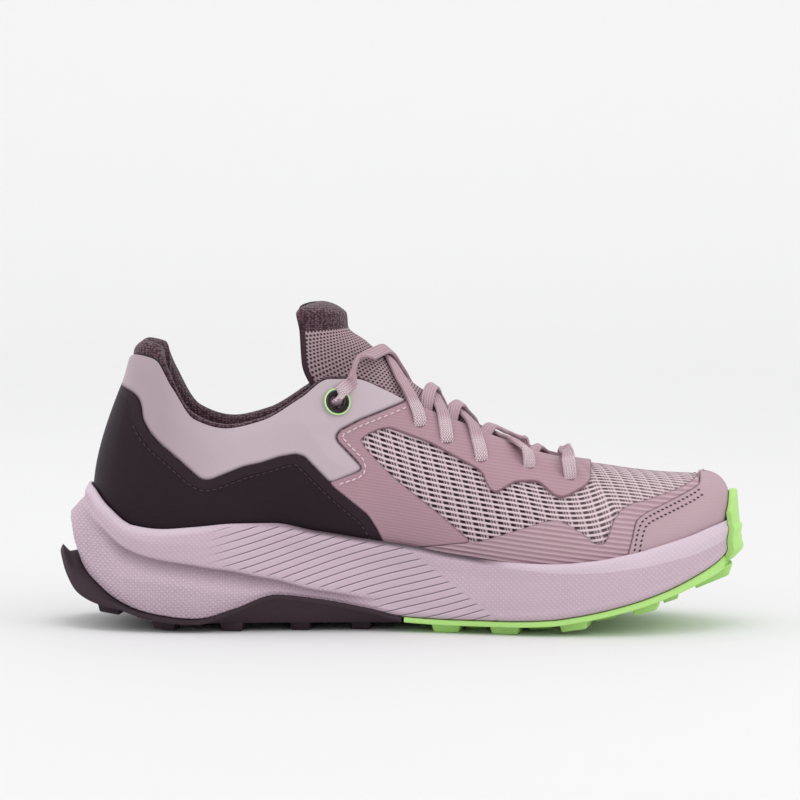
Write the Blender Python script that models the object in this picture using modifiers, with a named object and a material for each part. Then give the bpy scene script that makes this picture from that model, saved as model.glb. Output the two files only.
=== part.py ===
"""Trail running shoe, left foot, built as its maker would: outsoles, midsole, insole, one hollow
upper with its overlays, padded collar, tongue, top eyelets and lace crossings.

Metres, +Z up, +X to the toe, -Y to the inner side of the foot. The origin is on the floor, in the
middle of the heel's rest lug. Tables give lengths as shares of the named sizes. A station is a
place round the foot, from 0 at the back of the heel to 1 at the tip of the toe, on either side.
"""
import math

import bmesh
import bpy
import numpy as np
from mathutils import Vector
from mathutils.bvhtree import BVHTree

# Overall sizes
LENGTH = 0.287
HEEL_WIDTH = 0.064
WAIST_WIDTH = 0.062
BALL_WIDTH = 0.088
HEEL_STACK = 0.033
BALL_STACK = 0.0235
TOE_STACK = 0.0370
BOTTOM_HEIGHT = 0.0059
HEEL_LIFT = 0.0346
TOE_LIFT = 0.0347
RIM_RISE = 0.0260
FLARE = 0.0125
COLLAR_HEIGHT = 0.112
COLLAR_DIP = 0.083
THROAT_HEIGHT = 0.105
VAMP_HEIGHT = 0.070
TOE_HEIGHT = 0.062
THROAT_WIDTH = 0.038

# Walls, plates and clearances
WALL = 0.0020
OVERLAY = 0.0010
GAP = 0.0003
RUBBER = 0.0020
INSOLE = 0.0040
COLLAR_PAD = 0.0055
TONGUE_PAD = 0.0042
TONGUE_ROLL = 0.0075
LUG_DEPTH = 0.0036
LUG_SIZE = 0.0120
COLLAR_ROLL = 0.0080
TAIL = 0.0080
LACE_WIDTH = 0.0055
LACE_THICK = 0.0016
LACE_REST = 0.0006
EYELET_RADIUS = 0.0056
EYELET_BORE = 0.0030
LACE_HOLE_RADIUS = 0.0021

# Where the upper stands on the sole, as shares of LENGTH
HEEL_END = 0.0660
TOE_END = 0.9460
HEEL_CURVE = 0.125
TOE_CURVE = 0.215
REST_LUG = 0.200

STATIONS = 22
HEIGHTS = 5
COLLAR_FRONT = 0.420
RUBBER_SPLIT = 0.4915


def columns(names, *rows):
    """A table as a dictionary of arrays, one for each named column."""
    return dict(zip(names.split(), np.array(rows, float).T))


# The upper's bottom edge seen from above: its centre line's swing to the outer side, and half its
# width.
PLAN = columns(
    "at swing half",
    (0.07, 0.000, 0.50 * HEEL_WIDTH),
    (0.20, 0.000, 0.50 * HEEL_WIDTH),
    (0.33, 0.005, 0.49 * WAIST_WIDTH),
    (0.45, 0.011, 0.50 * WAIST_WIDTH),
    (0.58, 0.004, 0.43 * BALL_WIDTH),
    (0.70, -0.004, 0.50 * BALL_WIDTH),
    (0.80, -0.014, 0.49 * BALL_WIDTH),
    (0.90, -0.028, 0.43 * BALL_WIDTH),
    (1.00, -0.042, 0.36 * BALL_WIDTH),
)

# The upper's top edge: collar, throat and then the middle of the vamp. turn is the way the edge
# faces, in degrees from straight back. low and high are the handles of the wall's curve, how far
# they reach out and up or down, as shares of the wall's height.
TOP = columns(
    "station x y z turn low_out low_up high_out high_down",
    (0.00, 0.0985, 0.00 * HEEL_WIDTH, 0.985 * COLLAR_HEIGHT, 0, 0.21, 0.24, 0.125, 0.30),
    (0.05, 0.101, 0.10 * HEEL_WIDTH, 0.990 * COLLAR_HEIGHT, 20, 0.20, 0.24, 0.125, 0.30),
    (0.10, 0.110, 0.20 * HEEL_WIDTH, 1.003 * COLLAR_HEIGHT, 40, 0.18, 0.23, 0.125, 0.30),
    (0.15, 0.134, 0.30 * HEEL_WIDTH, 0.992 * COLLAR_HEIGHT, 60, 0.15, 0.22, 0.120, 0.31),
    (0.20, 0.157, 0.38 * HEEL_WIDTH, 0.893 * COLLAR_HEIGHT, 76, 0.14, 0.22, 0.110, 0.31),
    (0.25, 0.190, 0.43 * HEEL_WIDTH, 1.045 * COLLAR_DIP, 85, 0.15, 0.25, 0.110, 0.32),
    (0.30, 0.237, 0.45 * HEEL_WIDTH, 1.000 * COLLAR_DIP, 90, 0.16, 0.28, 0.100, 0.32),
    (0.35, 0.290, 0.46 * HEEL_WIDTH, 1.040 * COLLAR_DIP, 90, 0.16, 0.28, 0.100, 0.32),
    (0.40, 0.346, 0.45 * HEEL_WIDTH, 1.155 * COLLAR_DIP, 90, 0.14, 0.27, 0.095, 0.34),
    (0.44, 0.384, 0.42 * HEEL_WIDTH, 0.985 * THROAT_HEIGHT, 90, 0.13, 0.25, 0.090, 0.36),
    (0.47, 0.418, 0.62 * THROAT_WIDTH, 0.982 * THROAT_HEIGHT, 90, 0.13, 0.25, 0.110, 0.32),
    (0.50, 0.455, 0.56 * THROAT_WIDTH, 0.943 * THROAT_HEIGHT, 90, 0.13, 0.26, 0.140, 0.26),
    (0.54, 0.504, 0.50 * THROAT_WIDTH, 0.878 * THROAT_HEIGHT, 90, 0.13, 0.28, 0.190, 0.18),
    (0.58, 0.554, 0.46 * THROAT_WIDTH, 1.235 * VAMP_HEIGHT, 90, 0.13, 0.30, 0.240, 0.13),
    (0.63, 0.614, 0.42 * THROAT_WIDTH, 1.133 * VAMP_HEIGHT, 90, 0.13, 0.33, 0.300, 0.09),
    (0.68, 0.671, 0.35 * THROAT_WIDTH, 1.040 * VAMP_HEIGHT, 90, 0.12, 0.35, 0.370, 0.05),
    (0.72, 0.711, 0.23 * THROAT_WIDTH, 0.995 * VAMP_HEIGHT, 90, 0.12, 0.36, 0.450, 0.02),
    (0.75, 0.733, 0.09 * THROAT_WIDTH, 0.978 * VAMP_HEIGHT, 92, 0.11, 0.37, 0.560, 0.00),
    (0.765, 0.7405, 0.0, 0.973 * VAMP_HEIGHT, 94, 0.11, 0.37, 0.600, 0.00),
    (0.80, 0.773, 0.0, 0.955 * VAMP_HEIGHT, 101, 0.11, 0.38, 0.720, 0.00),
    (0.85, 0.822, 0.0, 0.926 * VAMP_HEIGHT, 116, 0.13, 0.42, 0.800, 0.00),
    (0.90, 0.866, 0.0, 1.028 * TOE_HEIGHT, 136, 0.18, 0.45, 0.780, 0.00),
    (0.95, 0.902, 0.0, 1.024 * TOE_HEIGHT, 158, 0.25, 0.48, 0.620, 0.00),
    (1.00, 0.928, 0.0, 1.018 * TOE_HEIGHT, 180, 0.30, 0.50, 0.390, 0.00),
)
VAMP_START = 0.765

# The height the upper stands at along its length.
FOOTBED = columns(
    "at height",
    (HEEL_END, 1.00 * HEEL_STACK),
    (0.195, 1.01 * HEEL_STACK),
    (0.247, 1.03 * HEEL_STACK),
    (0.306, 1.03 * HEEL_STACK),
    (0.370, 0.97 * HEEL_STACK),
    (0.437, 1.22 * BALL_STACK),
    (0.506, 1.12 * BALL_STACK),
    (0.575, 1.03 * BALL_STACK),
    (0.642, 1.00 * BALL_STACK),
    (0.706, 1.00 * BALL_STACK),
    (0.765, 1.04 * BALL_STACK),
    (0.817, 1.12 * BALL_STACK),
    (0.862, 0.80 * TOE_STACK),
    (0.898, 0.88 * TOE_STACK),
    (0.924, 0.95 * TOE_STACK),
    (TOE_END, 1.00 * TOE_STACK),
)

# The sole's underside along its length, and the tread face of the rubber below it.
ROCKER = columns(
    "at height",
    (-0.020, 1.90 * HEEL_LIFT),
    (0.0108, 1.00 * HEEL_LIFT),
    (0.0226, 0.75 * HEEL_LIFT),
    (0.0500, 0.53 * HEEL_LIFT),
    (0.0815, 0.355 * HEEL_LIFT),
    (0.1130, 1.50 * BOTTOM_HEIGHT),
    (0.1450, 1.20 * BOTTOM_HEIGHT),
    (0.1850, 1.00 * BOTTOM_HEIGHT),
    (0.6300, 1.00 * BOTTOM_HEIGHT),
    (0.7000, 1.14 * BOTTOM_HEIGHT),
    (0.7420, 0.245 * TOE_LIFT),
    (0.8000, 0.350 * TOE_LIFT),
    (0.8580, 0.490 * TOE_LIFT),
    (0.9190, 0.700 * TOE_LIFT),
    (0.9510, 0.840 * TOE_LIFT),
    (0.9760, 1.000 * TOE_LIFT),
    (1.0000, 1.200 * TOE_LIFT),
)
TREAD = columns(
    "at height",
    (-0.0200, 1.150 * HEEL_LIFT),
    (-0.0120, 0.890 * HEEL_LIFT),
    (0.0000, 0.640 * HEEL_LIFT),
    (0.0190, 0.425 * HEEL_LIFT),
    (0.0537, 0.305 * HEEL_LIFT),
    (0.0815, 0.262 * HEEL_LIFT),
    (0.1060, 1.16 * BOTTOM_HEIGHT),
    (0.1370, 1.20 * BOTTOM_HEIGHT - RUBBER - GAP),
    (0.1850, 1.00 * BOTTOM_HEIGHT - RUBBER - GAP),
    (0.6300, 1.00 * BOTTOM_HEIGHT - RUBBER - GAP),
    (0.7000, 1.12 * BOTTOM_HEIGHT - RUBBER - GAP),
    (0.7420, 0.240 * TOE_LIFT - RUBBER - GAP),
    (0.8000, 0.340 * TOE_LIFT - RUBBER - GAP),
    (0.8580, 0.470 * TOE_LIFT - RUBBER - GAP),
    (0.9190, 0.650 * TOE_LIFT - RUBBER - GAP),
    (0.9510, 0.760 * TOE_LIFT - RUBBER - GAP),
    (0.9760, 0.860 * TOE_LIFT - RUBBER - GAP),
    (1.0000, 1.000 * TOE_LIFT - RUBBER - GAP),
)

# The sole's side. wing is its bottom edge's rise at the arch, and rim its top's over the footbed.
# band and crease are heights as shares of the side, from its bottom edge to its rim. The rest are
# how far each line stands out from the upper's wall, as shares of FLARE.
SOLE = columns(
    "station wing band crease rim bottom_out band_out under_out crease_out rim_out",
    (0.00, 0.00, 0.56, 0.78, 1.000, 1.16, 0.93, 0.54, 0.40, 0.17),
    (0.05, 0.00, 0.40, 0.80, 0.950, 1.06, 1.02, 0.58, 0.44, 0.18),
    (0.10, 0.00, 0.30, 0.80, 0.700, 0.92, 1.04, 0.66, 0.60, 0.20),
    (0.15, 0.00, 0.36, 0.72, 0.415, 0.78, 0.98, 0.70, 0.74, 0.22),
    (0.20, 0.00, 0.39, 0.67, 0.365, 0.66, 0.94, 0.66, 0.78, 0.24),
    (0.25, 0.00, 0.33, 0.60, 0.400, 0.60, 0.88, 0.60, 0.78, 0.25),
    (0.30, 0.14, 0.18, 0.45, 0.425, 0.60, 0.80, 0.58, 0.78, 0.25),
    (0.35, 0.31, 0.06, 0.22, 0.430, 0.64, 0.70, 0.60, 0.74, 0.25),
    (0.40, 0.25, 0.05, 0.14, 0.375, 0.64, 0.68, 0.62, 0.70, 0.25),
    (0.45, 0.14, 0.07, 0.16, 0.385, 0.62, 0.66, 0.63, 0.66, 0.25),
    (0.50, 0.02, 0.12, 0.30, 0.380, 0.56, 0.60, 0.60, 0.60, 0.25),
    (0.55, 0.00, 0.14, 0.36, 0.320, 0.50, 0.56, 0.56, 0.56, 0.25),
    (0.60, 0.00, 0.16, 0.36, 0.255, 0.46, 0.53, 0.54, 0.54, 0.25),
    (0.65, 0.00, 0.18, 0.38, 0.235, 0.44, 0.52, 0.53, 0.53, 0.25),
    (0.70, 0.00, 0.20, 0.40, 0.250, 0.42, 0.51, 0.52, 0.52, 0.25),
    (0.75, 0.00, 0.20, 0.40, 0.280, 0.42, 0.50, 0.51, 0.51, 0.24),
    (0.80, 0.00, 0.20, 0.40, 0.280, 0.42, 0.50, 0.50, 0.50, 0.23),
    (0.85, 0.00, 0.22, 0.42, 0.280, 0.41, 0.49, 0.49, 0.49, 0.20),
    (0.90, 0.00, 0.25, 0.45, 0.290, 0.40, 0.47, 0.48, 0.47, 0.16),
    (0.95, 0.00, 0.28, 0.48, 0.300, 0.39, 0.46, 0.46, 0.44, 0.12),
    (1.00, 0.00, 0.30, 0.50, 0.310, 0.38, 0.45, 0.45, 0.42, 0.10),
)
ROW_SHARES = (0.0, 0.50, 0.82)

# The rubber's lip beyond the sole's bottom edge: its reach as a share of TAIL, how hollow its top
# is, and its rim's height over the tread as a share of RUBBER.
LIP = columns(
    "station tail cup rim",
    (0.00, 1.000, 0.30, 2.60),
    (0.05, 0.930, 0.40, 2.40),
    (0.10, 0.700, 0.60, 1.50),
    (0.15, 0.360, 0.60, 0.90),
    (0.19, 0.100, 0.60, 0.60),
    (0.50, 0.075, 0.50, 0.50),
    (1.00, 0.160, 0.40, 0.50),
)

# The toe bumper: the height of its top, and how thick it is at the foot and at the top.
BUMPER = columns(
    "station top foot head",
    (0.952, 0.78, 0.24, 0.16),
    (0.975, 0.88, 0.46, 0.22),
    (1.000, 0.92, 0.56, 0.27),
)

# The padded collar: how far its roll rises over the upper's edge, and its padding.
COLLAR = columns(
    "station rise pad",
    (0.00, 0.98 * COLLAR_ROLL, 0.95 * COLLAR_PAD),
    (0.10, 1.00 * COLLAR_ROLL, 1.00 * COLLAR_PAD),
    (0.18, 0.85 * COLLAR_ROLL, 1.00 * COLLAR_PAD),
    (0.25, 0.48 * COLLAR_ROLL, 0.95 * COLLAR_PAD),
    (0.32, 0.35 * COLLAR_ROLL, 0.90 * COLLAR_PAD),
    (0.40, 0.32 * COLLAR_ROLL, 0.70 * COLLAR_PAD),
    (0.44, 0.25 * COLLAR_ROLL, 0.45 * COLLAR_PAD),
)

# The tongue from its toe end to its top: its middle line, its side edge and its thickness.
TONGUE = columns(
    "row ridge_x ridge_z edge_x edge_y edge_z thick",
    (0, 0.716, 0.955 * VAMP_HEIGHT, 0.708, 0.26 * THROAT_WIDTH, 0.915 * VAMP_HEIGHT, 0.60 * TONGUE_PAD),
    (1, 0.645, 1.060 * VAMP_HEIGHT, 0.630, 0.50 * THROAT_WIDTH, 0.930 * VAMP_HEIGHT, 0.80 * TONGUE_PAD),
    (2, 0.570, 0.840 * THROAT_HEIGHT, 0.535, 0.58 * THROAT_WIDTH, 0.675 * THROAT_HEIGHT, 0.90 * TONGUE_PAD),
    (3, 0.500, 0.970 * THROAT_HEIGHT, 0.440, 0.58 * THROAT_WIDTH, 0.770 * THROAT_HEIGHT, 1.00 * TONGUE_PAD),
    (4, 0.458, 1.072 * THROAT_HEIGHT, 0.364, 0.47 * THROAT_WIDTH, 0.930 * THROAT_HEIGHT, 1.00 * TONGUE_PAD),
    (5, 0.437, 1.125 * THROAT_HEIGHT, 0.345, 0.50 * THROAT_WIDTH, 1.045 * THROAT_HEIGHT, 1.00 * TONGUE_PAD),
    (6, 0.411, 1.181 * THROAT_HEIGHT, 0.342, 0.56 * THROAT_WIDTH, 1.172 * THROAT_HEIGHT, 1.00 * TONGUE_PAD),
    (7, 0.409, 1.233 * THROAT_HEIGHT, 0.338, 0.58 * THROAT_WIDTH, 1.240 * THROAT_HEIGHT, 1.00 * TONGUE_ROLL),
    (8, 0.384, 1.288 * THROAT_HEIGHT, 0.347, 0.46 * THROAT_WIDTH, 1.275 * THROAT_HEIGHT, 0.70 * TONGUE_ROLL),
)
TONGUE_SEAM = 6
TONGUE_WRAP = math.radians(78)

# The top eyelets and lace holes from the side: share of LENGTH, share of COLLAR_HEIGHT.
EYELETS = columns(
    "at height",
    (0.394, 0.840),
    (0.514, 0.757),
    (0.553, 0.700),
    (0.603, 0.634),
    (0.670, 0.603),
    (0.730, 0.560),
)

# Outlines of the overlays from the side: share of LENGTH, share of COLLAR_HEIGHT.
COUNTER_OUTLINE = (
    (0.020, 0.905), (0.089, 0.885), (0.101, 0.869), (0.109, 0.852), (0.114, 0.824), (0.117, 0.773),
    (0.125, 0.733), (0.135, 0.701), (0.194, 0.569), (0.204, 0.556), (0.217, 0.558), (0.264, 0.605),
    (0.288, 0.619), (0.314, 0.641), (0.336, 0.652), (0.347, 0.644), (0.393, 0.527), (0.438, 0.431),
    (0.459, 0.347), (0.466, 0.285), (0.380, 0.308), (0.300, 0.322), (0.020, 0.315),
)
PANEL_OUTLINE = (
    (0.020, 0.911), (0.090, 0.891), (0.104, 0.874), (0.113, 0.855), (0.118, 0.826), (0.121, 0.775),
    (0.129, 0.737), (0.139, 0.705), (0.197, 0.575), (0.205, 0.562), (0.216, 0.564), (0.262, 0.611),
    (0.287, 0.625), (0.313, 0.647), (0.337, 0.658), (0.350, 0.649), (0.384, 0.560), (0.423, 0.588),
    (0.4285, 0.598), (0.4280, 0.607), (0.395, 0.694), (0.3915, 0.717), (0.398, 0.742), (0.428, 0.779),
    (0.492, 0.838), (0.505, 0.890), (0.480, 1.200), (0.020, 1.200),
)
EYESTAY_OUTLINE = (
    (0.509, 0.885), (0.4965, 0.832), (0.430, 0.770), (0.401, 0.734), (0.396, 0.716), (0.399, 0.698),
    (0.422, 0.639), (0.432, 0.608), (0.432, 0.595), (0.426, 0.583), (0.389, 0.552), (0.397, 0.530),
    (0.441, 0.435), (0.452, 0.394), (0.462, 0.347), (0.469, 0.284), (0.482, 0.276), (0.486, 0.308),
    (0.586, 0.340), (0.544, 0.431), (0.486, 0.545), (0.465, 0.592), (0.436, 0.668), (0.428, 0.701),
    (0.433, 0.715), (0.443, 0.730), (0.458, 0.744), (0.472, 0.748), (0.530, 0.692), (0.599, 0.598),
    (0.606, 0.581), (0.611, 0.549), (0.617, 0.525), (0.624, 0.518), (0.650, 0.554), (0.676, 0.555),
    (0.686, 0.550), (0.706, 0.507), (0.716, 0.497), (0.726, 0.503), (0.751, 0.532), (0.759, 0.551),
    (0.764, 0.609), (0.764, 0.700), (0.600, 0.900),
)
MUDGUARD_OUTLINE = (
    (0.488, 0.272), (0.489, 0.3035), (0.602, 0.339), (0.693, 0.410), (0.710, 0.414), (0.722, 0.403),
    (0.750, 0.358), (0.761, 0.333), (0.772, 0.326), (0.780, 0.338), (0.792, 0.414), (0.803, 0.443),
    (0.819, 0.464), (0.839, 0.474), (0.892, 0.514), (0.912, 0.538), (0.918, 0.553), (0.918, 0.524),
    (0.836, 0.434), (0.8225, 0.410), (0.8085, 0.295), (0.8055, 0.256), (0.765, 0.241), (0.706, 0.232),
    (0.642, 0.232), (0.575, 0.238), (0.530, 0.252),
)
TOE_CAP_OUTLINE = (
    (0.8085, 0.257), (0.811, 0.295), (0.825, 0.408), (0.838, 0.431), (0.911, 0.509), (0.920, 0.523),
    (0.923, 0.553), (0.923, 0.640), (1.050, 0.640), (1.050, 0.355), (0.946, 0.352), (0.862, 0.287),
)

# Lugs on both sides of the sole's middle line, or one on it: where they are along LENGTH, how far
# off the line as a share of BALL_WIDTH, and their size as shares of LUG_SIZE.
HEEL_LUGS = columns(
    "at off long wide",
    (0.068, 0.220, 0.85, 1.05),
    (0.068, 0.000, 0.85, 1.15),
    (0.118, 0.110, 0.85, 1.00),
    (0.150, 0.326, 0.90, 1.08),
    (REST_LUG, 0.000, 1.20, 1.65),
    (0.247, 0.330, 0.85, 1.08),
    (0.247, 0.113, 0.80, 0.90),
    (0.296, 0.000, 0.90, 1.25),
    (0.345, 0.308, 0.75, 0.92),
    (0.345, 0.108, 0.75, 0.83),
    (0.432, 0.300, 0.75, 0.92),
    (0.432, 0.100, 0.75, 0.83),
)
TOE_LUGS = columns(
    "at off long wide",
    (0.556, 0.380, 1.08, 1.08),
    (0.556, 0.120, 0.85, 0.92),
    (0.600, 0.260, 0.85, 0.92),
    (0.600, 0.000, 0.85, 0.92),
    (0.640, 0.430, 1.12, 1.08),
    (0.640, 0.134, 0.92, 1.00),
    (0.690, 0.307, 0.92, 1.00),
    (0.690, 0.000, 0.92, 1.00),
    (0.738, 0.455, 1.06, 1.08),
    (0.738, 0.153, 0.92, 1.00),
    (0.785, 0.292, 0.92, 0.92),
    (0.785, 0.000, 0.92, 1.00),
    (0.840, 0.356, 0.95, 1.00),
    (0.840, 0.122, 0.92, 0.92),
    (0.884, 0.000, 0.92, 1.00),
    (0.878, 0.211, 0.60, 0.92),
    (0.9395, 0.077, 1.40, 0.95),
)

COLOURS = {
    "outsole_heel": ((0.080, 0.062, 0.072), 0.65),
    "outsole_forefoot": ((0.390, 0.780, 0.200), 0.50),
    "midsole": ((0.610, 0.480, 0.560), 0.62),
    "insole": ((0.060, 0.040, 0.050), 0.90),
    "upper": ((0.480, 0.330, 0.370), 0.80),
    "heel_counter": ((0.030, 0.019, 0.026), 0.55),
    "collar_panel": ((0.560, 0.470, 0.520), 0.60),
    "eyestay": ((0.480, 0.330, 0.370), 0.45),
    "toe_cap": ((0.480, 0.330, 0.370), 0.45),
    "mudguard": ((0.480, 0.330, 0.370), 0.50),
    "collar_lining": ((0.080, 0.042, 0.060), 0.90),
    "tongue": ((0.300, 0.210, 0.240), 0.85),
    "tongue_top": ((0.090, 0.050, 0.068), 0.90),
    "lace": ((0.520, 0.370, 0.420), 0.70),
    "eyelet": ((0.030, 0.020, 0.025), 0.50),
}


def along(table, key, column, at):
    """A smooth curve through a table's column that never passes a row's own value."""
    xs, ys = table[key], table[column]
    step = np.diff(xs)
    chord = np.diff(ys) / step
    before, after = 2 * step[1:] + step[:-1], step[1:] + 2 * step[:-1]
    same = chord[:-1] * chord[1:] > 0
    safe = [np.where(same, c, 1.0) for c in (chord[:-1], chord[1:])]
    slope = np.zeros_like(ys)
    slope[1:-1] = np.where(same, (before + after) / (before / safe[0] + after / safe[1]), 0.0)
    slope[0], slope[-1] = chord[0], chord[-1]
    at = np.clip(np.asarray(at, float), xs[0], xs[-1])
    i = np.clip(np.searchsorted(xs, at, side="right") - 1, 0, len(xs) - 2)
    width = step[i]
    t = (at - xs[i]) / width
    return (
        ys[i] * (1 + 2 * t) * (1 - t) ** 2
        + slope[i] * width * t * (1 - t) ** 2
        + ys[i + 1] * t * t * (3 - 2 * t)
        + slope[i + 1] * width * t * t * (t - 1)
    )


def seat_share(station):
    """Share of LENGTH of the upper's bottom edge, closer together round the heel and toe."""
    return HEEL_END + (TOE_END - HEEL_END) * (1 - np.cos(np.pi * np.asarray(station, float))) / 2


def place_x(share):
    """A share of LENGTH as a place along X."""
    return (np.asarray(share, float) - REST_LUG) * LENGTH


def half_width(share):
    """Half the upper's width at its bottom edge, with elliptical ends."""
    from_heel = np.clip((share - HEEL_END) / HEEL_CURVE, 0, 1)
    from_toe = np.clip((TOE_END - share) / TOE_CURVE, 0, 1)
    ends = np.sqrt((1 - (1 - from_heel) ** 2) * (1 - (1 - from_toe) ** 2))
    return along(PLAN, "at", "half", share) * ends


def height_at(table, x):
    """The height of the rocker or the tread at a place along X."""
    return along(table, "at", "height", np.asarray(x) / LENGTH + REST_LUG)


def folded(station, side):
    """A station before the heel or past the toe is one on the other side."""
    station = np.asarray(station, float)
    other = (station < 0) | (station > 1)
    return 1 - np.abs(1 - np.abs(station)), np.where(other, -side, side)


def seat_edge(station, side):
    """The upper's bottom edge seen from above, X and Y."""
    station, side = folded(station, side)
    share = seat_share(station)
    swing = along(PLAN, "at", "swing", share) * LENGTH
    return np.stack([place_x(share), swing + side * half_width(share)], -1)


def seat_facing(station, side):
    """The way the bottom edge faces, X and Y, across its tangent."""
    step = 1e-3
    station = np.asarray(station, float)
    tangent = seat_edge(station + step, side) - seat_edge(station - step, side)
    out = np.stack([-tangent[..., 1], tangent[..., 0]], -1) * np.asarray(side)[..., None]
    return out / np.linalg.norm(out, axis=-1, keepdims=True)


def wall_point(station, height, side):
    """A point of the upper's outer face: a cubic curve from the bottom edge to the top edge."""
    station, height = np.broadcast_arrays(np.asarray(station, float), np.asarray(height, float))
    station, side = folded(station, side)
    top = {name: along(TOP, "station", name, station) for name in TOP if name != "station"}
    facing = seat_facing(station, side)
    foot = seat_edge(station, side)
    foot = np.concatenate([foot, height_at(FOOTBED, foot[..., :1])], -1)
    middle = along(PLAN, "at", "swing", top["x"]) * LENGTH * np.clip(top["x"] / 0.6 - 0.2, 0, 1)
    crest = np.stack([place_x(top["x"]), middle + side * top["y"], top["z"]], -1)
    rise = (crest[..., 2] - foot[..., 2])[..., None]
    up = np.array([0.0, 0.0, 1.0])
    turn = np.radians(top["turn"])
    crest_out = np.stack([-np.cos(turn), side * np.sin(turn), np.zeros_like(turn)], -1)
    out = np.concatenate([facing, np.zeros(facing.shape[:-1] + (1,))], -1)
    low = foot + rise * (out * top["low_out"][..., None] + up * top["low_up"][..., None])
    high = crest + rise * (crest_out * top["high_out"][..., None] - up * top["high_down"][..., None])
    t = height[..., None]
    return (
        foot * (1 - t) ** 3 + 3 * low * t * (1 - t) ** 2 + 3 * high * t * t * (1 - t) + crest * t**3
    )


def wall_normal(station, height, side):
    """The outward normal of the upper's outer face."""
    step = 2e-3
    station, height = np.asarray(station, float), np.asarray(height, float)
    low, high = np.clip(height - step, 0, 1), np.clip(height + step, 0, 1)
    onward = wall_point(station + step, height, side) - wall_point(station - step, height, side)
    upward = wall_point(station, high, side) - wall_point(station, low, side)
    normal = np.cross(upward, onward) * side
    return normal / np.linalg.norm(normal, axis=-1, keepdims=True)


def clear_scene():
    for thing in list(bpy.data.objects):
        bpy.data.objects.remove(thing, do_unlink=True)


def collection(name):
    made = bpy.data.collections.new(name)
    bpy.context.scene.collection.children.link(made)
    return made


def grid_faces(rows, across, start=0):
    """The four-sided faces of a grid of points stored row by row."""
    first = start + (np.arange(rows - 1)[:, None] * across + np.arange(across - 1)[None, :]).ravel()
    return np.stack([first, first + 1, first + across + 1, first + across], -1).tolist()


def face_out(shape):
    """Turns every face of a closed mesh to the outside."""
    bmesh.ops.recalc_face_normals(shape, faces=shape.faces)
    if shape.calc_volume(signed=True) < 0:
        bmesh.ops.reverse_faces(shape, faces=shape.faces)


def mesh_object(name, grids, into, weld=2e-5):
    """One mesh from grids of points, welded where they meet, with its faces pointing out."""
    points, faces = [], []
    for grid in grids:
        rows, across = grid.shape[:2]
        faces += grid_faces(rows, across, sum(len(p) for p in points))
        points.append(grid.reshape(-1, 3))
    mesh = bpy.data.meshes.new(name)
    mesh.from_pydata(np.concatenate(points).tolist(), [], faces)
    shape = bmesh.new()
    shape.from_mesh(mesh)
    bmesh.ops.remove_doubles(shape, verts=shape.verts, dist=weld)
    bmesh.ops.dissolve_degenerate(shape, edges=shape.edges, dist=weld)
    face_out(shape)
    bmesh.ops.triangulate(shape, faces=shape.faces, quad_method="FIXED")
    shape.to_mesh(mesh)
    shape.free()
    made = bpy.data.objects.new(name, mesh)
    into.objects.link(made)
    return made


def finish(thing, look):
    """Gives a piece its own plain material and smooth shading with sharp rims."""
    colour, roughness = COLOURS[look]
    material = bpy.data.materials.new(thing.name)
    material.use_nodes = True
    surface = material.node_tree.nodes["Principled BSDF"]
    surface.inputs["Base Color"].default_value = (*colour, 1)
    surface.inputs["Roughness"].default_value = roughness
    surface.inputs["Metallic"].default_value = 0.0
    thing.data.materials.clear()
    thing.data.materials.append(material)
    thing.data.shade_smooth()
    thing.data.set_sharp_from_angle(angle=math.radians(35))


def baked(thing):
    """Replaces an object's mesh by what its modifiers make of it."""
    bpy.context.view_layer.update()
    graph = bpy.context.evaluated_depsgraph_get()
    mesh = bpy.data.meshes.new_from_object(thing.evaluated_get(graph))
    thing.modifiers.clear()
    thing.data = mesh
    return thing


def as_helper(thing):
    thing.hide_render = True
    thing.display_type = "WIRE"
    return thing


def boolean(thing, other, operation):
    step = thing.modifiers.new(operation.lower(), "BOOLEAN")
    step.operation = operation
    step.object = other
    step.solver = "EXACT"
    baked(thing)
    shape = bmesh.new()
    shape.from_mesh(thing.data)
    face_out(shape)
    bmesh.ops.triangulate(shape, faces=shape.faces)
    shape.to_mesh(thing.data)
    shape.free()
    return thing


def all_stations():
    """The stations that every piece is built on, with one where the throat ends."""
    stations = np.linspace(0, 1, STATIONS + 1)
    stations[np.argmin(np.abs(stations - VAMP_START))] = VAMP_START
    return stations


def wall_sheet(name, into):
    """The upper's outer face as one open sheet, both sides joined at heel, vamp and toe."""
    at, height = np.meshgrid(all_stations(), np.linspace(0, 1, HEIGHTS + 1), indexing="ij")
    return mesh_object(name, [wall_point(at, height, side) for side in (-1, 1)], into)


def shell_between(name, into, inner, outer):
    """The upper's own form thickened between two distances out from its face."""
    sheet = wall_sheet(name, into)
    push = sheet.modifiers.new("push", "DISPLACE")
    push.strength = inner
    push.mid_level = 0.0
    thicken = sheet.modifiers.new("thicken", "SOLIDIFY")
    thicken.thickness = outer - inner
    thicken.offset = 1.0
    thicken.use_even_offset = True
    return baked(sheet)


def outline_prism(name, into, outline, across):
    """A side-view outline carried across the shoe from one Y to another, as a cutter."""
    points = np.array(outline)
    xs, zs = place_x(points[:, 0]), points[:, 1] * COLLAR_HEIGHT
    count = len(points)
    flat = [(x, y, z) for y in across for x, z in zip(xs, zs)]
    mesh = bpy.data.meshes.new(name)
    sides = [(i, (i + 1) % count, count + (i + 1) % count, count + i) for i in range(count)]
    caps = [tuple(range(count))[::-1], tuple(range(count, 2 * count))]
    mesh.from_pydata(flat, [], sides + caps)
    shape = bmesh.new()
    shape.from_mesh(mesh)
    bmesh.ops.triangulate(shape, faces=[f for f in shape.faces if len(f.verts) > 4])
    face_out(shape)
    shape.to_mesh(mesh)
    shape.free()
    made = bpy.data.objects.new(name, mesh)
    into.objects.link(made)
    return as_helper(made)


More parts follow.
